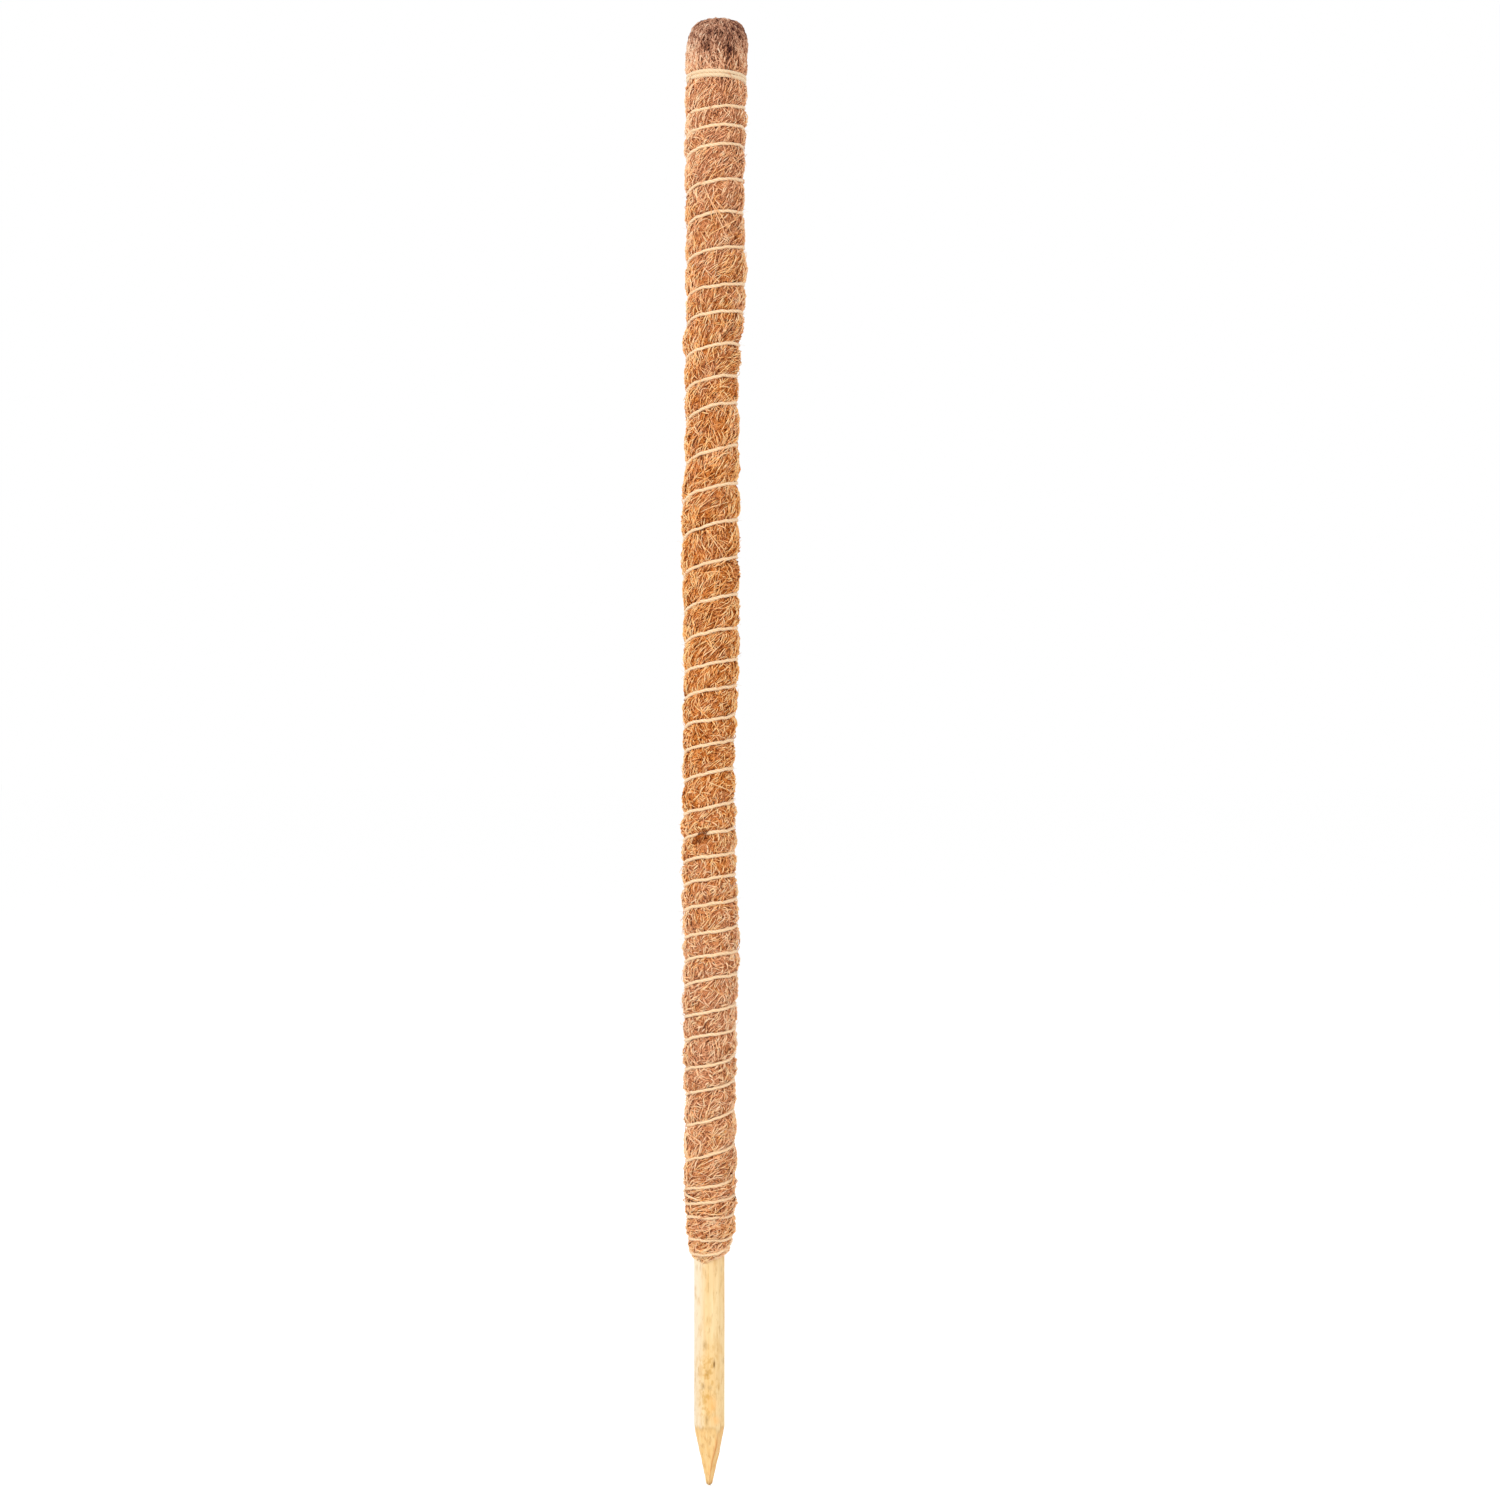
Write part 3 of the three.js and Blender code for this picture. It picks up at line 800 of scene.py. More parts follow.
def make_stake(name):
    """The stake, and at each point how fresh its cut is, its facet's tone, the ridge between facets, the
    shares of the paler stripe and of curly grain, and the dark and warm marks."""
    angle, height = np.meshgrid(circle(STAKE_COLUMNS), stake_heights())
    above = height - tip_height
    flare = (stake_radius - TIP_RADIUS) / POINT_LENGTH
    twist = math.radians(CUT_TWIST) * (1 - smooth_step(above / (POINT_LENGTH - SHOULDER_REACH / 2)))
    facing = np.cos(np.radians(np.array(CUT_ANGLES))[:, None, None] + twist - angle)
    order = np.sort(facing, axis=0)
    nearest = order[-1]
    ridge = np.exp(-(((nearest - order[-2]) / RIDGE_WIDTH) ** 2))
    begun = smooth_step((POINT_LENGTH - above) / SHOULDER_REACH)
    flatness = SHOULDER_FLATNESS + (CUT_FLATNESS - SHOULDER_FLATNESS) * begun
    corner = 1 + flatness * (1 / nearest - 1)
    cut = (TIP_RADIUS + flare * above) * corner + CUT_UNEVENNESS * hand_cuts(angle, height)
    cut = cut * np.sqrt(np.clip(above / TIP_ROUNDING, 0, 1))
    uncut = stake_radius - WOOD_INSET + GRAIN_RELIEF * grain_ridges(angle, GRAIN_STRETCH * height)
    depth = uncut - cut
    edge = EDGE_DIRT * np.exp(-(((depth - EDGE_DIRT_PLACE) / EDGE_DIRT_WIDTH) ** 2))
    dirt = np.maximum(edge, TIP_DIRT * (1 - smooth_step(above / TIP_DIRT_HEIGHT)))
    figure = bump_round(angle, FIGURE_SIDE, FIGURE_WIDTH)
    marks = {
        "cut": risen(depth, *FRESH_DEPTHS),
        "facet": np.array(CUT_TONES)[np.argmax(facing, axis=0)],
        "ridge": RIDGE_SHADE * ridge * begun * bump_round(angle, RIDGE_SIDE, RIDGE_REACH),
        "pale_stripe": risen(np.cos(angle - PALE_STRIPE_SIDE), *PALE_STRIPE_FACINGS),
        "figure": figure * np.exp(-(((height - FIGURE_HEIGHT) / FIGURE_REACH) ** 4)),
        "spot": np.maximum(wood_marks(DARK_SPOTS + more_spots(23), angle, height), dirt),
        "warm": wood_marks(WARM_PATCHES, angle, height),
    }
    rings = round_points(angle, height, np.minimum(cut, uncut))
    return make_skin(name, rings, wood_look, False, STAKE_MAP_BANDS, marks)


# Painted shade: dark hollows painted into the coir: angle in degrees, height, reach and depth
PAINTED_HOLLOWS = [
    (-108, 495.2, 2.0, 1.0),
    (-65, 494.5, 1.7, 1.0),
    (-66, 498.5, 1.5, 0.9),
    (-104, 500.8, 1.1, 0.8),
    (-10, 506.8, 3.0, 0.6),
    (-35, 507.5, 2.4, 0.5),
    (-150, 506.0, 1.6, 0.5),
    (35, 494.0, 2.0, 1.0),
    (95, 498.0, 1.8, 1.0),
    (165, 495.0, 2.0, 0.9),
    (205, 501.0, 1.6, 0.8),
    (-112, 299.0, 1.6, 1.8),
    (-110, 298.0, 1.2, 0.6),
]
PAINTED_HOLLOW_SHADE = 0.55


def painted_hollow_shade(points):
    """How much painted shade some points get because they lie in a hollow."""
    total = np.zeros(points.shape[:-1])
    for degrees, height, reach, depth in PAINTED_HOLLOWS:
        place = onto_coir(round_points(math.radians(degrees), height, CAP_RADIUS, coir_middle(height))[None])
        apart = np.linalg.norm(points - place, axis=-1)
        total = np.maximum(total, depth * np.exp(-((apart / reach) ** 2)))
    return PAINTED_HOLLOW_SHADE * total


# Mat: the body of the coir that shows between the fibres, painted dark as the shade in the gaps between them
MAT_COLUMNS = 108
SLEEVE_STEP = 0.95
CAP_STEP = 0.4
DOME_RINGS = 26
DOME_END = 0.985  # the last ring lies just short of the crown
DOME_LUMPS = 0.02
DOME_LUMP_SPAN = 40.0
MAT_SINK = 0.55  # below the surface that the fibres creep over
LIP_REACH = 10.0  # height up to which the mat follows its edge's slope
BORE_GAP = 0.15
CAP_GAP = 0.3
EDGE_PAINTED_LIGHT = 0.32  # painted light: the coir is painted lighter below the last turn of twine, where its underside is in shade
EDGE_HEIGHT = 2.5
SLEEVE_MAP_BANDS = 4
mat_angles = circle(MAT_COLUMNS)


def outer_rings(heights):
    angle, height = np.meshgrid(mat_angles, heights)
    low = lip_height(angle)
    height = np.where(height < LIP_REACH, low + height * (LIP_REACH - low) / LIP_REACH, height)
    return on_coir(angle, height, -MAT_SINK)


def bore_rings(heights):
    angle, height = np.meshgrid(mat_angles, np.array(heights, float))
    return round_points(angle, height, stake_radius + BORE_GAP)


def dome_rings():
    """Rings from the foot of the dome to just short of its crown."""
    rises = np.linspace(0, DOME_END, DOME_RINGS)[1:] * math.pi / 2
    angle, climb = np.meshgrid(mat_angles, np.sin(rises) ** (2 / DOME_POWER))
    reach = (np.cos(rises) ** (2 / DOME_POWER))[:, None]
    radius = (coir_radius(angle, np.full_like(angle, dome_start)) - MAT_SINK) * reach
    radius = radius * (1 + DOME_LUMPS * lumps(angle, DOME_LUMP_SPAN * climb))
    height = dome_start + climb * (DOME_HEIGHT - MAT_SINK)
    return round_points(angle, height, radius, coir_middle(height))


# Painted light at the coir's lower edge, fading out by EDGE_HEIGHT.
def painted_edge_light(heights):
    return EDGE_PAINTED_LIGHT * (1 - smooth_step(heights / EDGE_HEIGHT))


def sleeve_mat(name):
    outside = outer_rings(np.linspace(0, joint_height, round(joint_height / SLEEVE_STEP)))
    rings = np.concatenate([bore_rings([joint_height, LIP_REACH / 2]), outside])
    # The shade mark: painted shade in the hollows, less painted light along the lower edge.
    marks = {"shade": painted_hollow_shade(rings) - painted_edge_light(rings[..., 2])}
    return make_skin(name, rings, mat_look, True, SLEEVE_MAP_BANDS, marks)


def cap_mat(name):
    rows = round((dome_start - joint_height) / CAP_STEP)
    outside = outer_rings(np.linspace(joint_height + CAP_GAP, dome_start, rows))
    bore = bore_rings([stake_top + CAP_GAP, joint_height + CAP_GAP])
    rings = np.concatenate([bore, outside, dome_rings()])
    # The shade mark: painted shade in the hollows.
    return make_skin(name, rings, mat_look, False, 1, {"shade": painted_hollow_shade(rings)})


stake_piece = make_stake("stake_wood_pole")
sleeve_piece = sleeve_mat("sleeve_mat")
cap_piece = cap_mat("cap_mat")

# Fibres of the coir, in bundles that creep over the mat
FIBRE_SIDES = 3
FIBRE_TIP = 0.4  # share of its thickness that a fibre has at its ends
# Shares of the fine, middling and coarse fibres, added up, and their diameters
FIBRE_KINDS = [(0.35, (0.28, 0.38)), (0.83, (0.38, 0.52)), (1.0, (0.52, 0.68))]
END_SINK = 0.7  # how far a fibre's ends are tucked in
ARCH_POWER = 0.4
TAPER_POWER = 0.35
FIBRE_WAVE = 0.3  # how far a fibre dips and rises along its way
WAVE_LENGTHS = (2.8, 6.0)
WAVE_PAINTED_SHADE = 0.22  # painted light and shade: a fibre is painted lighter where it rises and darker where it dips
PRESSED = 0.25  # share of its lift that a fibre keeps under the twine
PRESS_REACH = 1.9
BRIDGE_REACH = 3.0  # for those that lie over the twine
TWINE_SEAT = 0.7  # from the coir's surface to the twine's middle
EVEN_STEPS = np.array([0.7548776662, 0.5698402910])  # steps that spread places evenly over a square


def grow(starts, headings, lengths, curls, wander, strides, rng):
    """Paths (fibre, step, xyz) over the coir from some starts, bending as they go."""
    here = onto_coir(starts)
    heading = headings
    path = [here]
    stride = lengths / strides
    for _ in range(strides):
        out = outward(here)
        heading = unit(heading - out * dot(heading, out))
        side = np.cross(out, heading)
        bend = (curls * stride + rng.normal(0, wander, len(starts)))[:, None]
        heading = heading * np.cos(bend) + side * np.sin(bend)
        here = onto_coir(here + heading * stride[:, None])
        path.append(here)
    return np.stack(path, axis=1)


def tangent_headings(points, slants):
    """Unit directions on the coir, with slants in radians from level, rising to the right in front."""
    out = outward(points)
    level = unit(np.cross(np.array([0.0, 0.0, 1.0]), out))
    upward = np.cross(out, level)
    return level * np.cos(slants)[:, None] + upward * np.sin(slants)[:, None]


def grow_both_ways(middles, slants, lengths, curls, wander, strides, rng):
    headings = tangent_headings(middles, slants)
    starts = middles - headings * lengths[:, None] / 2
    return grow(starts, headings, lengths, curls, wander, strides, rng)


def lift_off(paths, lifts, over, rng):
    """Raises fibres off the mat, with their ends tucked in. At the twine they are pressed flat under it, or
    lie over it where over is true. Also gives how far they rise or dip, -1 to 1."""
    count = len(paths)
    share = np.linspace(0, 1, paths.shape[1])
    arch = np.clip(np.sin(math.pi * share), 0, 1) ** ARCH_POWER
    free = PRESSED + (1 - PRESSED) * twine_freedom(paths, PRESS_REACH)
    steps = np.linalg.norm(np.diff(paths, axis=1), axis=2)
    run = np.concatenate([np.zeros((count, 1)), np.cumsum(steps, axis=1)], axis=1)
    length = rng.uniform(*WAVE_LENGTHS, (count, 1))
    dips = np.sin(2 * math.pi * run / length + rng.uniform(0, 2 * math.pi, (count, 1)))
    height = (lifts[:, None] + FIBRE_WAVE * dips) * arch * free - END_SINK * (1 - arch)
    bridge = (TWINE_SEAT + TWINE_RADIUS) * (1 - twine_freedom(paths, BRIDGE_REACH)) * arch
    height = height + bridge * over[:, None]
    return paths + outward(paths) * height[..., None], dips


def even_places(rng, count):
    """Angles, and shares of the height, that fill the coir evenly but not in rows."""
    around, upward = ((np.arange(count)[:, None] * EVEN_STEPS + rng.uniform(0, 1, 2)) % 1).T
    return 2 * math.pi * around, upward


def fan_out(rng, points, slants, most, apart, fan):
    """Splits each bundle into one or more fibres: the number of its bundle, the place and the slant."""
    member = np.repeat(np.arange(len(points)), rng.integers(1, most + 1, len(points)))
    count = len(member)
    places = onto_coir(points[member] + rng.normal(0, apart, (count, 3)))
    return member, places, slants[member] + rng.normal(0, fan, count)


def pick_diameters(rng, count):
    kind = rng.uniform(0, 1, count)
    diameters = [rng.uniform(*span, count) for _, span in FIBRE_KINDS]
    return np.select([kind < share for share, _ in FIBRE_KINDS], diameters)


def fibre_tubes(name, paths, diameters, tone, dips, rng):
    """The fibres along some paths, each with its own tone and blush."""
    count, rings = paths.shape[:2]
    blush = rng.uniform(-0.5, 0.5, count)
    full = np.clip(np.sin(math.pi * np.linspace(0, 1, rings)), 0, 1) ** TAPER_POWER
    radii = diameters[:, None] / 2 * (FIBRE_TIP + (1 - FIBRE_TIP) * full)
    marks = {
        # Painted light and shade along each fibre's rises and dips, and painted shade in the hollows.
        "tone": np.clip(tone[:, None] + WAVE_PAINTED_SHADE * dips - painted_hollow_shade(paths), 0, 1),
        "blush": np.repeat(blush[:, None], rings, axis=1),
    }
    return make_tubes(name, paths, radii, FIBRE_SIDES, fibre_look, marks)


# Fibres of the sleeve
OVER_SHARE = 0.02  # of the fibres lie over the twine
FOOT_HANG = -1.5  # the lowest fibres hang down over the mat's edge
JOINT_MARGIN = 1.0  # and the highest bundles start so far below the sleeve's upper end
BODY_LEAN = math.radians(55)  # slant of most fibres
FOOT_LEAN = math.radians(22)
LEAN_HEIGHTS = (25, 65)  # heights between which that slant changes
LEAN_WIDTH = math.radians(13)
LEANING_SHARE = 0.86  # of the fibres have that slant
AGAINST_SHARE = 0.08  # and so many lean the other way
AGAINST_WIDTH = 1.2 * LEAN_WIDTH
LEAN_WAVE = 0.35
CURL_SPREAD = 0.35
LOW_START = (45, 70)  # the lower half begins and ends between these heights
LOW_END = (200, 260)
LOW_MIXING = 0.38  # fewer of its fibres lean alike
LOW_SHORTENING = 0.4  # and they are shorter
HIGH_START = (380, 440)  # and the upper part begins between these
HIGH_ORDER = 0.5  # its fibres lie straighter
HIGH_EVENNESS = 0.4  # and are more alike in tone
BUNDLE_TONES = 0.1
FIBRE_TONES = 0.2
BUNDLE_SPREAD = (0.7, 0.12)  # how far a bundle's fibres lie apart and fan out
LENGTH_SHARES = (0.75, 1.25)
FIBRE_CURLS = 0.03
FIBRE_WANDER = 0.06
# By height, how much lighter the coir is
COIR_LIGHTNESS = [
    (0, 0.1), (40, 0.08), (70, 0.14), (90, 0.16), (170, 0.15), (210, 0.02), (300, 0.0), (330, 0.04),
    (405, 0.04), (440, -0.02),
]
TOP_PAINTED_SHADE = 0.1  # painted shade and light: the upper end is painted darker on the right than on the left, where the key light falls
TOP_PAINTED_SHADE_HEIGHTS = (415.0, 455.0)
# Layers: name, seed, bundles, most fibres in one, lengths, strides, lifts, tone and coarseness
# The deeper a layer lies, the darker its tone: painted shade under the layers above it.
SLEEVE_LAYERS = [
    ("sleeve_fibres_deep", 31, 2400, 4, (6, 14), 5, (-0.3, 0.0), 0.48, 1.0),
    ("sleeve_fibres_body", 32, 2400, 4, (4, 9.5), 5, (-0.1, 0.2), 0.61, 1.0),
    ("sleeve_fibres_light", 33, 2000, 4, (3.5, 8), 6, (0.08, 0.35), 0.74, 1.05),
    ("sleeve_fibres_loose", 34, 120, 2, (12, 26), 12, (0.2, 0.45), 0.74, 1.0),
]
lean_field = waves(seed=6, count=8, longest=60, shortest=20)


# Painted shade on the right of the upper end, and painted light on its left.
def painted_top_shade(angles, heights):
    return TOP_PAINTED_SHADE * np.cos(angles) * risen(heights, *TOP_PAINTED_SHADE_HEIGHTS)


def pick_slants(rng, count, leaning, lean):
    """Slants of fibres: a share of them leans one way, some the other way and the rest any way."""
    kind = rng.uniform(0, 1, count)
    with_lean = rng.normal(lean, LEAN_WIDTH, count)
    against = rng.normal(-lean, AGAINST_WIDTH, count)
    any_way = rng.uniform(-math.pi / 2, math.pi / 2, count)
    return np.select([kind < leaning, kind < leaning + AGAINST_SHARE], [with_lean, against], any_way)


def sleeve_fibres(name, seed, bundles, most, lengths, strides, lifts, lightness, coarseness):
    """One layer of fibres over the whole sleeve."""
    rng = np.random.default_rng(seed)
    angles, upward = even_places(rng, bundles)
    heights = FOOT_HANG + upward * (joint_height - JOINT_MARGIN - FOOT_HANG)
    low = risen(heights, *LOW_START) * (1 - risen(heights, *LOW_END))
    high = risen(heights, *HIGH_START)
    loose = 1 - HIGH_ORDER * high
    lean = FOOT_LEAN + (BODY_LEAN - FOOT_LEAN) * risen(heights, *LEAN_HEIGHTS)
    slants = pick_slants(rng, bundles, LEANING_SHARE - LOW_MIXING * low, lean)
    slants = slants + LEAN_WAVE * lean_field(angles, heights) * loose
    bundle_lengths = rng.uniform(*lengths, bundles) * (1 - LOW_SHORTENING * low)
    curls = rng.normal(0, CURL_SPREAD, bundles) * loose / bundle_lengths
    tones = rng.normal(lightness, BUNDLE_TONES, bundles) + np.interp(heights, *zip(*COIR_LIGHTNESS))
    # Painted light lifts the shaded lower edge, and painted shade darkens the upper end on the right.
    tones = tones + painted_edge_light(heights) - painted_top_shade(angles, heights)
    member, middles, slant = fan_out(rng, on_coir(angles, heights), slants, most, *BUNDLE_SPREAD)
    count = len(member)
    length = bundle_lengths[member] * rng.uniform(*LENGTH_SHARES, count)
    curl = curls[member] + rng.normal(0, FIBRE_CURLS, count)
    paths = grow_both_ways(middles, slant, length, curl, FIBRE_WANDER, strides, rng)
    over = rng.uniform(0, 1, count) < OVER_SHARE
    paths, dips = lift_off(paths, rng.uniform(*lifts, count), over, rng)
    spread = FIBRE_TONES * (1 - HIGH_EVENNESS * high)[member]
    tone = tones[member] + spread * rng.normal(0, 1, count)
    return fibre_tubes(name, paths, coarseness * pick_diameters(rng, count), tone, dips, rng)


# Fibres of the cap
CAP_COARSENESS = 1.6  # they are thicker than the sleeve's
CAP_TONE = 0.505
CAP_BUNDLE_TONES = 0.12
CAP_FIBRE_TONES = 0.09
CROWN_SHADE = 0.2  # and darker on the crown
CROWN_RISE = 8.0  # which begins so far above the foot of the dome
CROWN_SHARE = 0.3  # of the bundles are added to it
CROWN_SPREAD = 6.0
UPRIGHT_SHARES = (0.9, 0.55)  # of the bundles stand upright, below the crown and on it
UPRIGHT_WIDTH = 0.22
CAP_LENGTHS = (5, 14)
CAP_LIFTS = (-0.2, 0.4)
CAP_STRIDES = 8
CAP_MOST = 3  # fibres in a bundle
CAP_SPREAD = (0.6, 0.15)
CAP_CURLS = 0.04
CAP_WANDER = 0.13


def cap_fibres(name, seed, bundles):
    """Fibres of the cap: upright at its side, any way over the crown."""
    rng = np.random.default_rng(seed)
    angles, upward = even_places(rng, bundles)
    heights = joint_height + upward * (crown_height - joint_height)
    points = round_points(angles, heights, CAP_RADIUS)
    crown = rng.normal(0, CROWN_SPREAD, (bundles, 2))
    on_top = rng.uniform(0, 1, bundles) < CROWN_SHARE
    points[on_top, :2] = crown[on_top]
    points[on_top, 2] = crown_height
    points[:, 0] += coir_middle(points[:, 2])
    points = onto_coir(points)
    above = points[:, 2] - dome_start
    upright = rng.normal(math.pi / 2, UPRIGHT_WIDTH, bundles)
    any_way = rng.uniform(0, math.pi, bundles)
    upright_share = np.where(above > CROWN_RISE, UPRIGHT_SHARES[1], UPRIGHT_SHARES[0])
    slants = np.where(rng.uniform(0, 1, bundles) < upright_share, upright, any_way)
    tones = rng.normal(CAP_TONE, CAP_BUNDLE_TONES, bundles) - CROWN_SHADE * smooth_step(above / CROWN_RISE)
    # Painted shade: the cap is painted darker on the right and lighter on the left.
    tones = tones - painted_top_shade(angles, heights)
    member, middles, slant = fan_out(rng, points, slants, CAP_MOST, *CAP_SPREAD)
    count = len(member)
    length = rng.uniform(*CAP_LENGTHS, count)
    curl = rng.normal(0, CAP_CURLS, count)
    paths = grow_both_ways(middles, slant, length, curl, CAP_WANDER, CAP_STRIDES, rng)
    paths, dips = lift_off(paths, rng.uniform(*CAP_LIFTS, count), np.zeros(count, bool), rng)
    tone = tones[member] + rng.normal(0, CAP_FIBRE_TONES, count)
    return fibre_tubes(name, paths, CAP_COARSENESS * pick_diameters(rng, count), tone, dips, rng)


# Stray fibres, with one end loose
STRAY_LOW = 3.0
STRAY_MARGIN = 5.0  # they fill the pole's height, less this
STRAY_LENGTHS = (3.0, 8.0)
STRAY_LIFTS = (0.5, 1.6)
STRAY_DIAMETERS = (0.16, 0.3)
STRAY_STRIDES = 7
STRAY_CURLS = 0.12
STRAY_WANDER = 0.12
STRAY_RISE = 1.6
STRAY_TONE = 0.72
STRAY_TONES = 0.16
BAND_KEPT_CLEAR = 8.0  # none starts this near the band


def stray_fibres(name, seed, count):
    rng = np.random.default_rng(seed)
    angles, upward = even_places(rng, count)
    heights = STRAY_LOW + upward * (crown_height - STRAY_MARGIN)
    heights = np.where(np.abs(heights - band_height) < BAND_KEPT_CLEAR, heights / 2, heights)
    starts = onto_coir(round_points(angles, heights, COIR_RADIUS, coir_middle(heights)))
    slants = rng.uniform(0, 2 * math.pi, count)
    lengths = rng.uniform(*STRAY_LENGTHS, count)
    curls = rng.normal(0, STRAY_CURLS, count)
    headings = tangent_headings(starts, slants)
    paths = grow(starts, headings, lengths, curls, STRAY_WANDER, STRAY_STRIDES, rng)
    share = np.linspace(0, 1, paths.shape[1])
    lifts = rng.uniform(*STRAY_LIFTS, count)[:, None] * share**STRAY_RISE - END_SINK * (1 - share) ** 2
    paths = paths + outward(paths) * lifts[..., None]
    tone = rng.normal(STRAY_TONE, STRAY_TONES, count)
    level = np.zeros(paths.shape[:2])
    return fibre_tubes(name, paths, rng.uniform(*STRAY_DIAMETERS, count), tone, level, rng)


# Single long fibres in front: start and end as angle in degrees and height
LONG_FIBRES = [
    (-119, 439, -48, 417),
    (-114, 440, -62, 415),
    (-101, 299.6, -61, 287.7),
    (-101, 299.6, -49, 287.7),
    (-79, 301.0, -51, 298.8),
    (-51, 285.7, -35, 279.6),
    (-133, 229, -83, 221),
    (-86, 222, -62, 215),
    (-82, 71, -101, 59),
    (-128, 68, -150, 62),
    (-106, 418, -36, 426),
    (-83, 92, -79, 83),
    (-77, 92, -71, 83),
    (-57, 146, -44, 139),
    (-58, 123, -45, 117),
]
# One dark wisp crosses the twine.
DARK_FIBRES = [(angle + 10, 177.4, angle - 15, 171.2) for angle in np.linspace(-113, -98, 5)]
LONG_PAINTED_SHADE_SHARE = 0.3  # the long ones get less of the painted light and shade along their way than the others
LONG_DIAMETERS = (0.45, 0.6)
LONG_POINTS = 15


def straight_over(rows, count, lift=0.0):
    """Points on the coir from a start to an end, each given as an angle in degrees and a height."""
    rows = np.array(rows, float)
    share = np.linspace(0, 1, count)
    angles = np.radians(rows[..., :1] + (rows[..., 2:3] - rows[..., :1]) * share)
    heights = rows[..., 1:2] + (rows[..., 3:4] - rows[..., 1:2]) * share
    return on_coir(angles, heights, lift)


def long_fibres(name, seed, rows, tone, lift):
    rng = np.random.default_rng(seed)
    count = len(rows)
    paths = straight_over(rows, LONG_POINTS)
    paths, dips = lift_off(paths, np.full(count, lift), np.ones(count, bool), rng)
    diameters = rng.uniform(*LONG_DIAMETERS, count)
    return fibre_tubes(name, paths, diameters, np.full(count, tone), LONG_PAINTED_SHADE_SHARE * dips, rng)


fibre_pieces = [
    *[sleeve_fibres(*layer) for layer in SLEEVE_LAYERS],
    stray_fibres("coir_fibres_stray", seed=36, count=420),
    long_fibres("sleeve_fibres_long", seed=37, rows=LONG_FIBRES, tone=0.78, lift=0.6),
    long_fibres("sleeve_fibres_dark", seed=38, rows=DARK_FIBRES, tone=0.17, lift=1.05),
    cap_fibres("cap_fibres", seed=35, bundles=640),
]

# Twine: three plies twisted together
TWINE_SIDES = 15
TWINE_STEP = 0.5
TWINE_LAY_RADIUS = 10.5  # for the length of a turn
TWIST_LENGTH = 5.2
PLIES = 3
PLY_DEPTH = 0.08
BAND_SEAT = 0.35  # from the coir's surface to the twine's middle in the top band
BAND_SWELL = 1.3  # the twine is thicker in the band
BAND_PALENESS = 0.55  # and paler
BAND_SOFTNESS = 0.15  # and its plies show less
SOFT_PLY = 0.75  # between crest and crease, where a ply that doesn't show lies
TWINE_WANDER = 0.25
SEAT_SPREAD = 0.05
THICKNESS_SPREAD = 0.09
FOOT_THINNING = 0.12  # the twine is thinner towards the foot
THINNING_TURNS = (30.0, 38.0)
TWINE_MAP_BANDS = 24
twine_bumps = waves(seed=41, count=10, longest=14, shortest=3)


def twine_path(turns, lift):
    in_band = 1 - risen(turns, BAND_END_TURN, BAND_EXIT[0])
    seat = TWINE_SEAT + (BAND_SEAT - TWINE_SEAT) * in_band
    return on_coir(turn_angle(turns), turn_height(turns), seat + lift)


def make_twine(name, path, out, thickness, twist, in_band=0.0):
    """A twisted strand along a path (point, xyz), with a direction out of it, its thickness and its twist
    at each point. in_band is 1 where it lies in the top band."""
    ahead = unit(np.gradient(path, axis=0))
    out = unit(out - ahead * dot(out, ahead))
    across = np.cross(ahead, out)
    turns = circle(TWINE_SIDES)
    in_band = np.broadcast_to(in_band, len(path))[:, None]
    ply = np.abs(np.cos(PLIES / 2 * (turns[None, :] - twist[:, None])))
    ply = ply + (SOFT_PLY - ply) * (BAND_SOFTNESS * in_band)
    reach = thickness[:, None] / 2 * (1 - PLY_DEPTH + PLY_DEPTH * ply)
    spread = out[:, None] * np.cos(turns)[:, None] + across[:, None] * np.sin(turns)[:, None]
    points = path[:, None] + spread * reach[:, :, None]
    # The crease mark paints shade into the creases between the plies.
    marks = {"painted_crease_shade": ply, "pale": BAND_PALENESS * in_band + 0 * ply}
    return make_skin(name, points, twine_look, False, TWINE_MAP_BANDS, marks, STRIP_MARGIN, stacked=True)


def winding(name, first, last):
    turn_length = 2 * math.pi * TWINE_LAY_RADIUS
    turns = np.linspace(first, last, round((last - first) * turn_length / TWINE_STEP))
    run = turns * turn_length
    in_band = turns < BAND_END_TURN
    thickness = 2 * TWINE_RADIUS * (1 + THICKNESS_SPREAD * twine_bumps(0, run))
    thickness = thickness * (1 - FOOT_THINNING * risen(turns, *THINNING_TURNS))
    thickness = thickness * np.where(in_band, BAND_SWELL, 1)
    path = twine_path(turns, SEAT_SPREAD * twine_bumps(1, run))
    path[:, 2] += TWINE_WANDER * twine_bumps(2, run) * smooth_step(turns - BAND_END_TURN)
    return make_twine(name, path, outward(path), thickness, 2 * math.pi * run / TWIST_LENGTH, in_band)


# Knots behind the pole: a strand tied in three loops, with two tails
KNOT_SIZE = 0.8
KNOT_STRAND = 1.25
KNOT_OPENING = 0.2  # how far apart, as an angle, the strand enters and leaves the loops
KNOT_STEP = 0.25
KNOT_SPREAD = 0.06
TAIL_SPREAD = 4.5
TAIL_LIFT = 0.4
TAIL_LEAD = 3.0  # a tail sets out so far in the strand's own direction
TAIL_HANG = 5.0  # and comes down so far to its end
LOOP_POINTS = 160
TAIL_POINTS = 40
TAIL_LOOK = 4  # points over which the direction of a tail's end is read
ANY_DIRECTION = np.array([0.3, 1.0, 0.2])


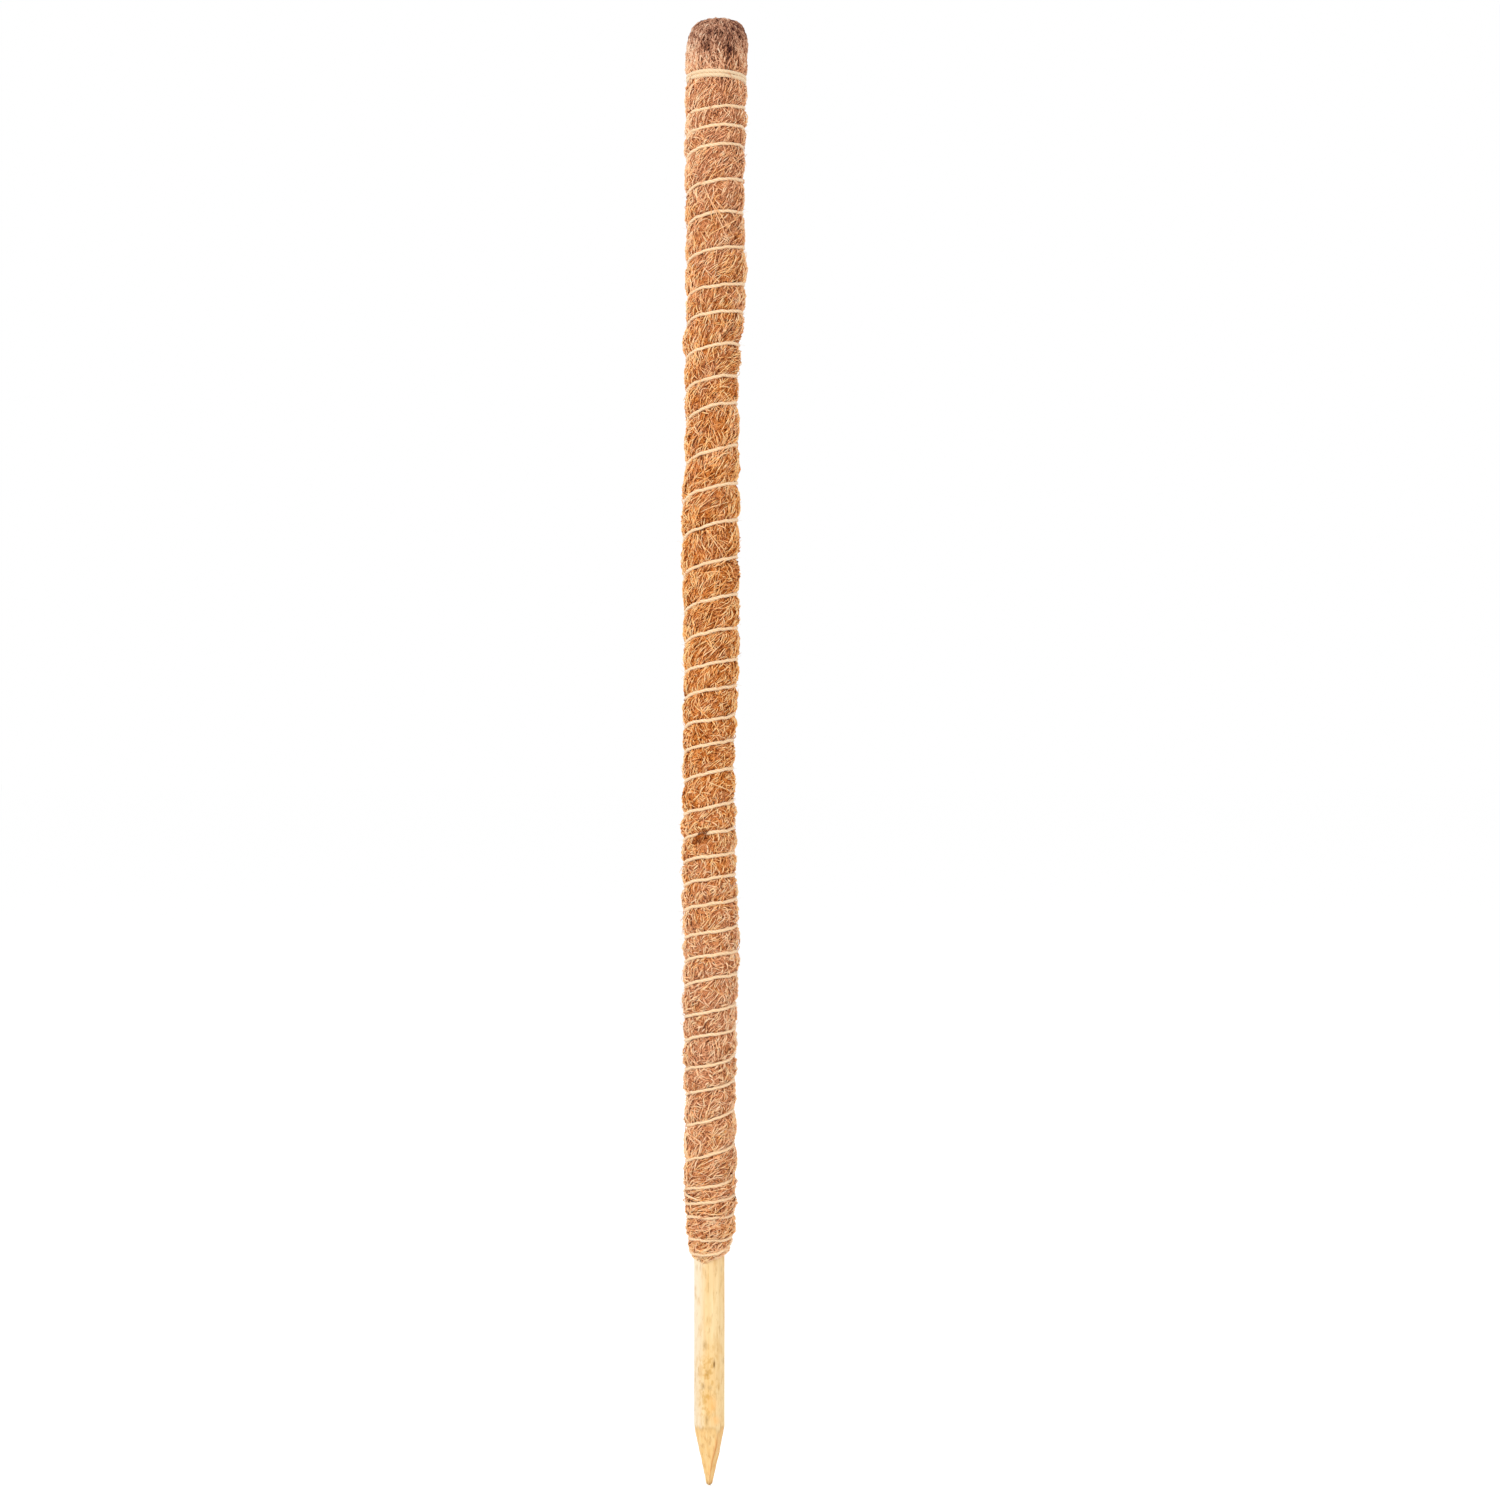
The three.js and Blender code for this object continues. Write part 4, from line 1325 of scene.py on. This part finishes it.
def knot_loops(centre):
    """Three loops, open where the strand enters and leaves them."""
    turns = np.linspace(KNOT_OPENING, 2 * math.pi - KNOT_OPENING, LOOP_POINTS)
    reach = KNOT_SIZE * (2 + np.cos(3 * turns))
    loops = [reach * np.cos(2 * turns), KNOT_SIZE * np.sin(3 * turns), reach * np.sin(2 * turns)]
    return centre + np.stack(loops, axis=-1)


def tail(start, ahead, end):
    """A strand's free end: it leaves start in its own direction and hangs down to end."""
    share = np.linspace(0, 1, TAIL_POINTS)[1:, None]
    first = start + TAIL_LEAD * ahead
    second = end + np.array([0.0, 0.0, TAIL_HANG])
    return (
        start * (1 - share) ** 3
        + 3 * first * share * (1 - share) ** 2
        + 3 * second * share**2 * (1 - share)
        + end * share**3
    )


def even_steps(path, step):
    """The same path with points at even steps, and how far along it each lies."""
    runs = np.concatenate([[0], np.cumsum(np.linalg.norm(np.diff(path, axis=0), axis=1))])
    places = np.linspace(0, runs[-1], round(runs[-1] / step))
    return np.stack([np.interp(places, runs, path[:, axis]) for axis in range(3)], axis=-1), places


def carried_direction(path):
    """A direction across a path at each point, carried along it without a twist."""
    here = ANY_DIRECTION
    carried = []
    for step in unit(np.gradient(path, axis=0)):
        here = here - step * np.dot(here, step)
        here = here / np.linalg.norm(here)
        carried.append(here)
    return np.array(carried)


def knot(name, turn, drops):
    """A knot on the twine at one of its ends, and the ends of the knot's tails, which hang down so far."""
    centre = twine_path(np.array([turn]), TWINE_RADIUS + KNOT_SIZE)[0]
    loops = knot_loops(centre)
    ends = []
    for side, drop in zip((-1, 1), drops):
        place = onto_coir((centre + np.array([side * TAIL_SPREAD, 0, -drop]))[None])[0]
        ends.append(place + outward(place[None])[0] * (KNOT_STRAND + TAIL_LIFT))
    first = tail(loops[0], unit(loops[0] - loops[1]), ends[0])
    last = tail(loops[-1], unit(loops[-1] - loops[-2]), ends[1])
    path, run = even_steps(np.concatenate([first[::-1], loops, last]), KNOT_STEP)
    thickness = KNOT_STRAND * (1 + KNOT_SPREAD * twine_bumps(3, run))
    piece = make_twine(name, path, carried_direction(path), thickness, 2 * math.pi * run / TWIST_LENGTH)
    ahead = [unit(path[0] - path[TAIL_LOOK]), unit(path[-1] - path[-1 - TAIL_LOOK])]
    return piece, list(zip(ends, ahead))


# Fuzz: fine cotton hairs on the twine, and the frayed ends of its tails
HAIR_SIDES = 3
HAIR_POINTS = 5
HAIR_BEND = 0.35
HAIR_TIP = 0.5
HAIR_TONE = 0.75
FUZZ_LENGTHS = (1.0, 2.3)
FUZZ_WIDTHS = (0.07, 0.12)
FUZZ_RISES = (0.1, 1.0)
FUZZ_SPREAD = 0.5
FRAY_HAIRS = 9
FRAY_OVERLAP = 0.8
FRAY_SPREAD = 0.28
FRAY_ROOTS = 0.18  # how far apart the hairs begin
FRAY_LENGTHS = (2.0, 4.0)
FRAY_WIDTHS = (0.18, 0.3)


def hairs(name, starts, headings, lengths, widths, rng):
    count = len(starts)
    lengths = rng.uniform(*lengths, count)[:, None, None]
    widths = rng.uniform(*widths, count)[:, None]
    share = np.linspace(0, 1, HAIR_POINTS)[None, :, None]
    bends = rng.normal(0, HAIR_BEND, (count, 1, 3)) * lengths
    paths = starts[:, None] + headings[:, None] * share * lengths + bends * share**2
    radii = widths / 2 * np.linspace(1, HAIR_TIP, HAIR_POINTS)[None, :]
    marks = {"painted_crease_shade": np.full((count, HAIR_POINTS), HAIR_TONE)}
    return make_tubes(name, paths, radii, HAIR_SIDES, twine_look, marks)


def twine_fuzz(name, seed, count):
    rng = np.random.default_rng(seed)
    starts = twine_path(rng.uniform(0, LAST_TURN, count), 0.0)
    rises = outward(starts) * rng.uniform(*FUZZ_RISES, (count, 1))
    headings = unit(rises + rng.normal(0, FUZZ_SPREAD, (count, 3)))
    return hairs(name, starts, headings, FUZZ_LENGTHS, FUZZ_WIDTHS, rng)


def frayed_ends(name, seed, ends):
    rng = np.random.default_rng(seed)
    places, ahead = (np.repeat(np.array(part), FRAY_HAIRS, axis=0) for part in zip(*ends))
    headings = unit(ahead + rng.normal(0, FRAY_SPREAD, places.shape))
    starts = places - ahead * FRAY_OVERLAP + rng.normal(0, FRAY_ROOTS, places.shape)
    return hairs(name, starts, headings, FRAY_LENGTHS, FRAY_WIDTHS, rng)


# A loose ply that crosses between two turns near the foot: start and end as angle in degrees and height
LOOSE_PLY = (-188, 30.0, -112, 26.2)
LOOSE_PLY_WIDTH = 0.8
LOOSE_PLY_TIP = 0.5  # share of its width at its ends
LOOSE_PLY_POINTS = 40
LOOSE_PLY_TWIST = 5.0
LOOSE_PLY_SINK = 0.4
LOOSE_PLY_LIFT = 0.7


def loose_ply(name):
    share = np.linspace(0, 1, LOOSE_PLY_POINTS)
    arch = np.sin(math.pi * share) ** 0.5
    path = straight_over(LOOSE_PLY, LOOSE_PLY_POINTS, LOOSE_PLY_LIFT * arch - LOOSE_PLY_SINK)
    thickness = LOOSE_PLY_WIDTH * (LOOSE_PLY_TIP + (1 - LOOSE_PLY_TIP) * arch)
    return make_twine(name, path, outward(path), thickness, LOOSE_PLY_TWIST * share)


upper_piece = winding("twine_upper_strand", 0.0, SPLIT_TURN)
lower_piece = winding("twine_lower_strand", SPLIT_TURN, LAST_TURN)
top_knot, top_ends = knot("top_knot_strand", turn=0.0, drops=(12.0, 9.5))
bottom_knot, bottom_ends = knot("bottom_knot_strand", turn=LAST_TURN, drops=(8.0, 10.0))
twine_extras = [
    twine_fuzz("twine_fuzz", seed=51, count=1500),
    frayed_ends("twine_frayed_ends", seed=52, ends=top_ends + bottom_ends),
    loose_ply("twine_loose_ply"),
]

# What each piece stands for
stand_ins = {
    "wooden_stake": stake_piece,
    "coir_sleeve": sleeve_piece,
    "coir_cap": cap_piece,
    "twine_upper": upper_piece,
    "twine_lower": lower_piece,
    "top_knot": top_knot,
    "bottom_knot": bottom_knot,
}
slot_pieces = {
    "stake_wood": [stake_piece],
    "coir": [sleeve_piece, cap_piece, *fibre_pieces],
    "twine": [upper_piece, lower_piece, top_knot, bottom_knot, *twine_extras],
}
for slot, pieces in slot_pieces.items():
    for piece in pieces:
        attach(piece, "root")
for node, piece in stand_ins.items():
    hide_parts(node)

# Stage: a white floor that keeps a faint shadow
FLOOR_SIZE = 60.0
FLOOR_GAP = 0.0002  # below the stake's tip
FLOOR_GLOW = 0.35
FLOOR_WHITE = 0.72


def seen_rays(tree):
    """1 for rays that see the surroundings, straight or by reflection, and 0 for rays that light them."""
    rays = add_node(tree, "ShaderNodeLightPath")
    seen = sums(tree, "MAXIMUM", rays.outputs["Is Camera Ray"], rays.outputs["Is Glossy Ray"])
    return sums(tree, "MAXIMUM", seen, rays.outputs["Is Transmission Ray"])


def floor_material():
    material = bpy.data.materials.new("white_floor")
    tree, surface = fresh_tree(material, "ShaderNodeOutputMaterial")
    strength = sums(tree, "MULTIPLY", seen_rays(tree), FLOOR_GLOW)
    glow = add_node(tree, "ShaderNodeEmission", {"Strength": strength})
    matt = add_node(tree, "ShaderNodeBsdfDiffuse", {"Color": (FLOOR_WHITE, FLOOR_WHITE, FLOOR_WHITE, 1)})
    both = add_node(tree, "ShaderNodeAddShader", {0: glow.outputs[0], 1: matt.outputs[0]})
    tree.links.new(both.outputs[0], surface)
    return material


def make_floor():
    half = FLOOR_SIZE / 2
    level = tip_height * MM - FLOOR_GAP
    corners = [(x * half, y * half, level) for x, y in ((-1, -1), (1, -1), (1, 1), (-1, 1))]
    mesh = bpy.data.meshes.new("floor")
    mesh.from_pydata(corners, [], [(0, 1, 2, 3)])
    mesh.materials.append(floor_material())
    floor = bpy.data.objects.new("floor", mesh)
    bpy.context.scene.collection.objects.link(floor)
    return floor


make_floor()

# World: even light, seen as white
WORLD_LIGHT = 0.9
world = bpy.data.worlds.new("studio")
bpy.context.scene.world = world
world_tree, world_surface = fresh_tree(world, "ShaderNodeOutputWorld")
world_range = {"Value": seen_rays(world_tree), "To Min": WORLD_LIGHT, "To Max": 1.0}
world_level = add_node(world_tree, "ShaderNodeMapRange", world_range).outputs["Result"]
world_glow = add_node(world_tree, "ShaderNodeBackground", {"Color": (1, 1, 1, 1), "Strength": world_level})
world_tree.links.new(world_glow.outputs[0], world_surface)

# Lamps: a broad soft key from the left, and weak ones from the right and from behind
LAMPS = [  # name, place in metres and watts
    ("key", (-1.55, -1.45, 1.1), 24),
    ("fill", (1.5, -1.2, 0.5), 8.5),
    ("back", (-0.3, 1.9, 0.8), 8),
]
LAMP_TARGET = (0, 0, 0.2)
LAMP_SIZE = 1.2


def soft_lamp(name, place, power):
    lamp = bpy.data.lights.new(name, "AREA")
    lamp.shape = "DISK"
    lamp.size = LAMP_SIZE
    lamp.energy = power
    holder = bpy.data.objects.new(name, lamp)
    holder.location = place
    toward = np.array(LAMP_TARGET) - np.array(place)
    tilt = math.acos(-toward[2] / np.linalg.norm(toward))
    holder.rotation_euler = (tilt, 0, math.atan2(toward[1], toward[0]) - math.pi / 2)
    bpy.context.scene.collection.objects.link(holder)


for lamp_row in LAMPS:
    soft_lamp(*lamp_row)

# Camera: level, straight at the front
CAMERA_PLACE = (0.0166, -1.65, 0.2094)
CAMERA_LENS = 96.9
CAMERA_SENSOR = 36
camera_data = bpy.data.cameras.new("camera")
camera_data.lens = CAMERA_LENS
camera_data.sensor_width = CAMERA_SENSOR
camera = bpy.data.objects.new("camera", camera_data)
camera.location = CAMERA_PLACE
camera.rotation_euler = (math.pi / 2, 0, 0)
bpy.context.scene.collection.objects.link(camera)
bpy.context.scene.camera = camera
bpy.context.scene.view_settings.view_transform = "Standard"
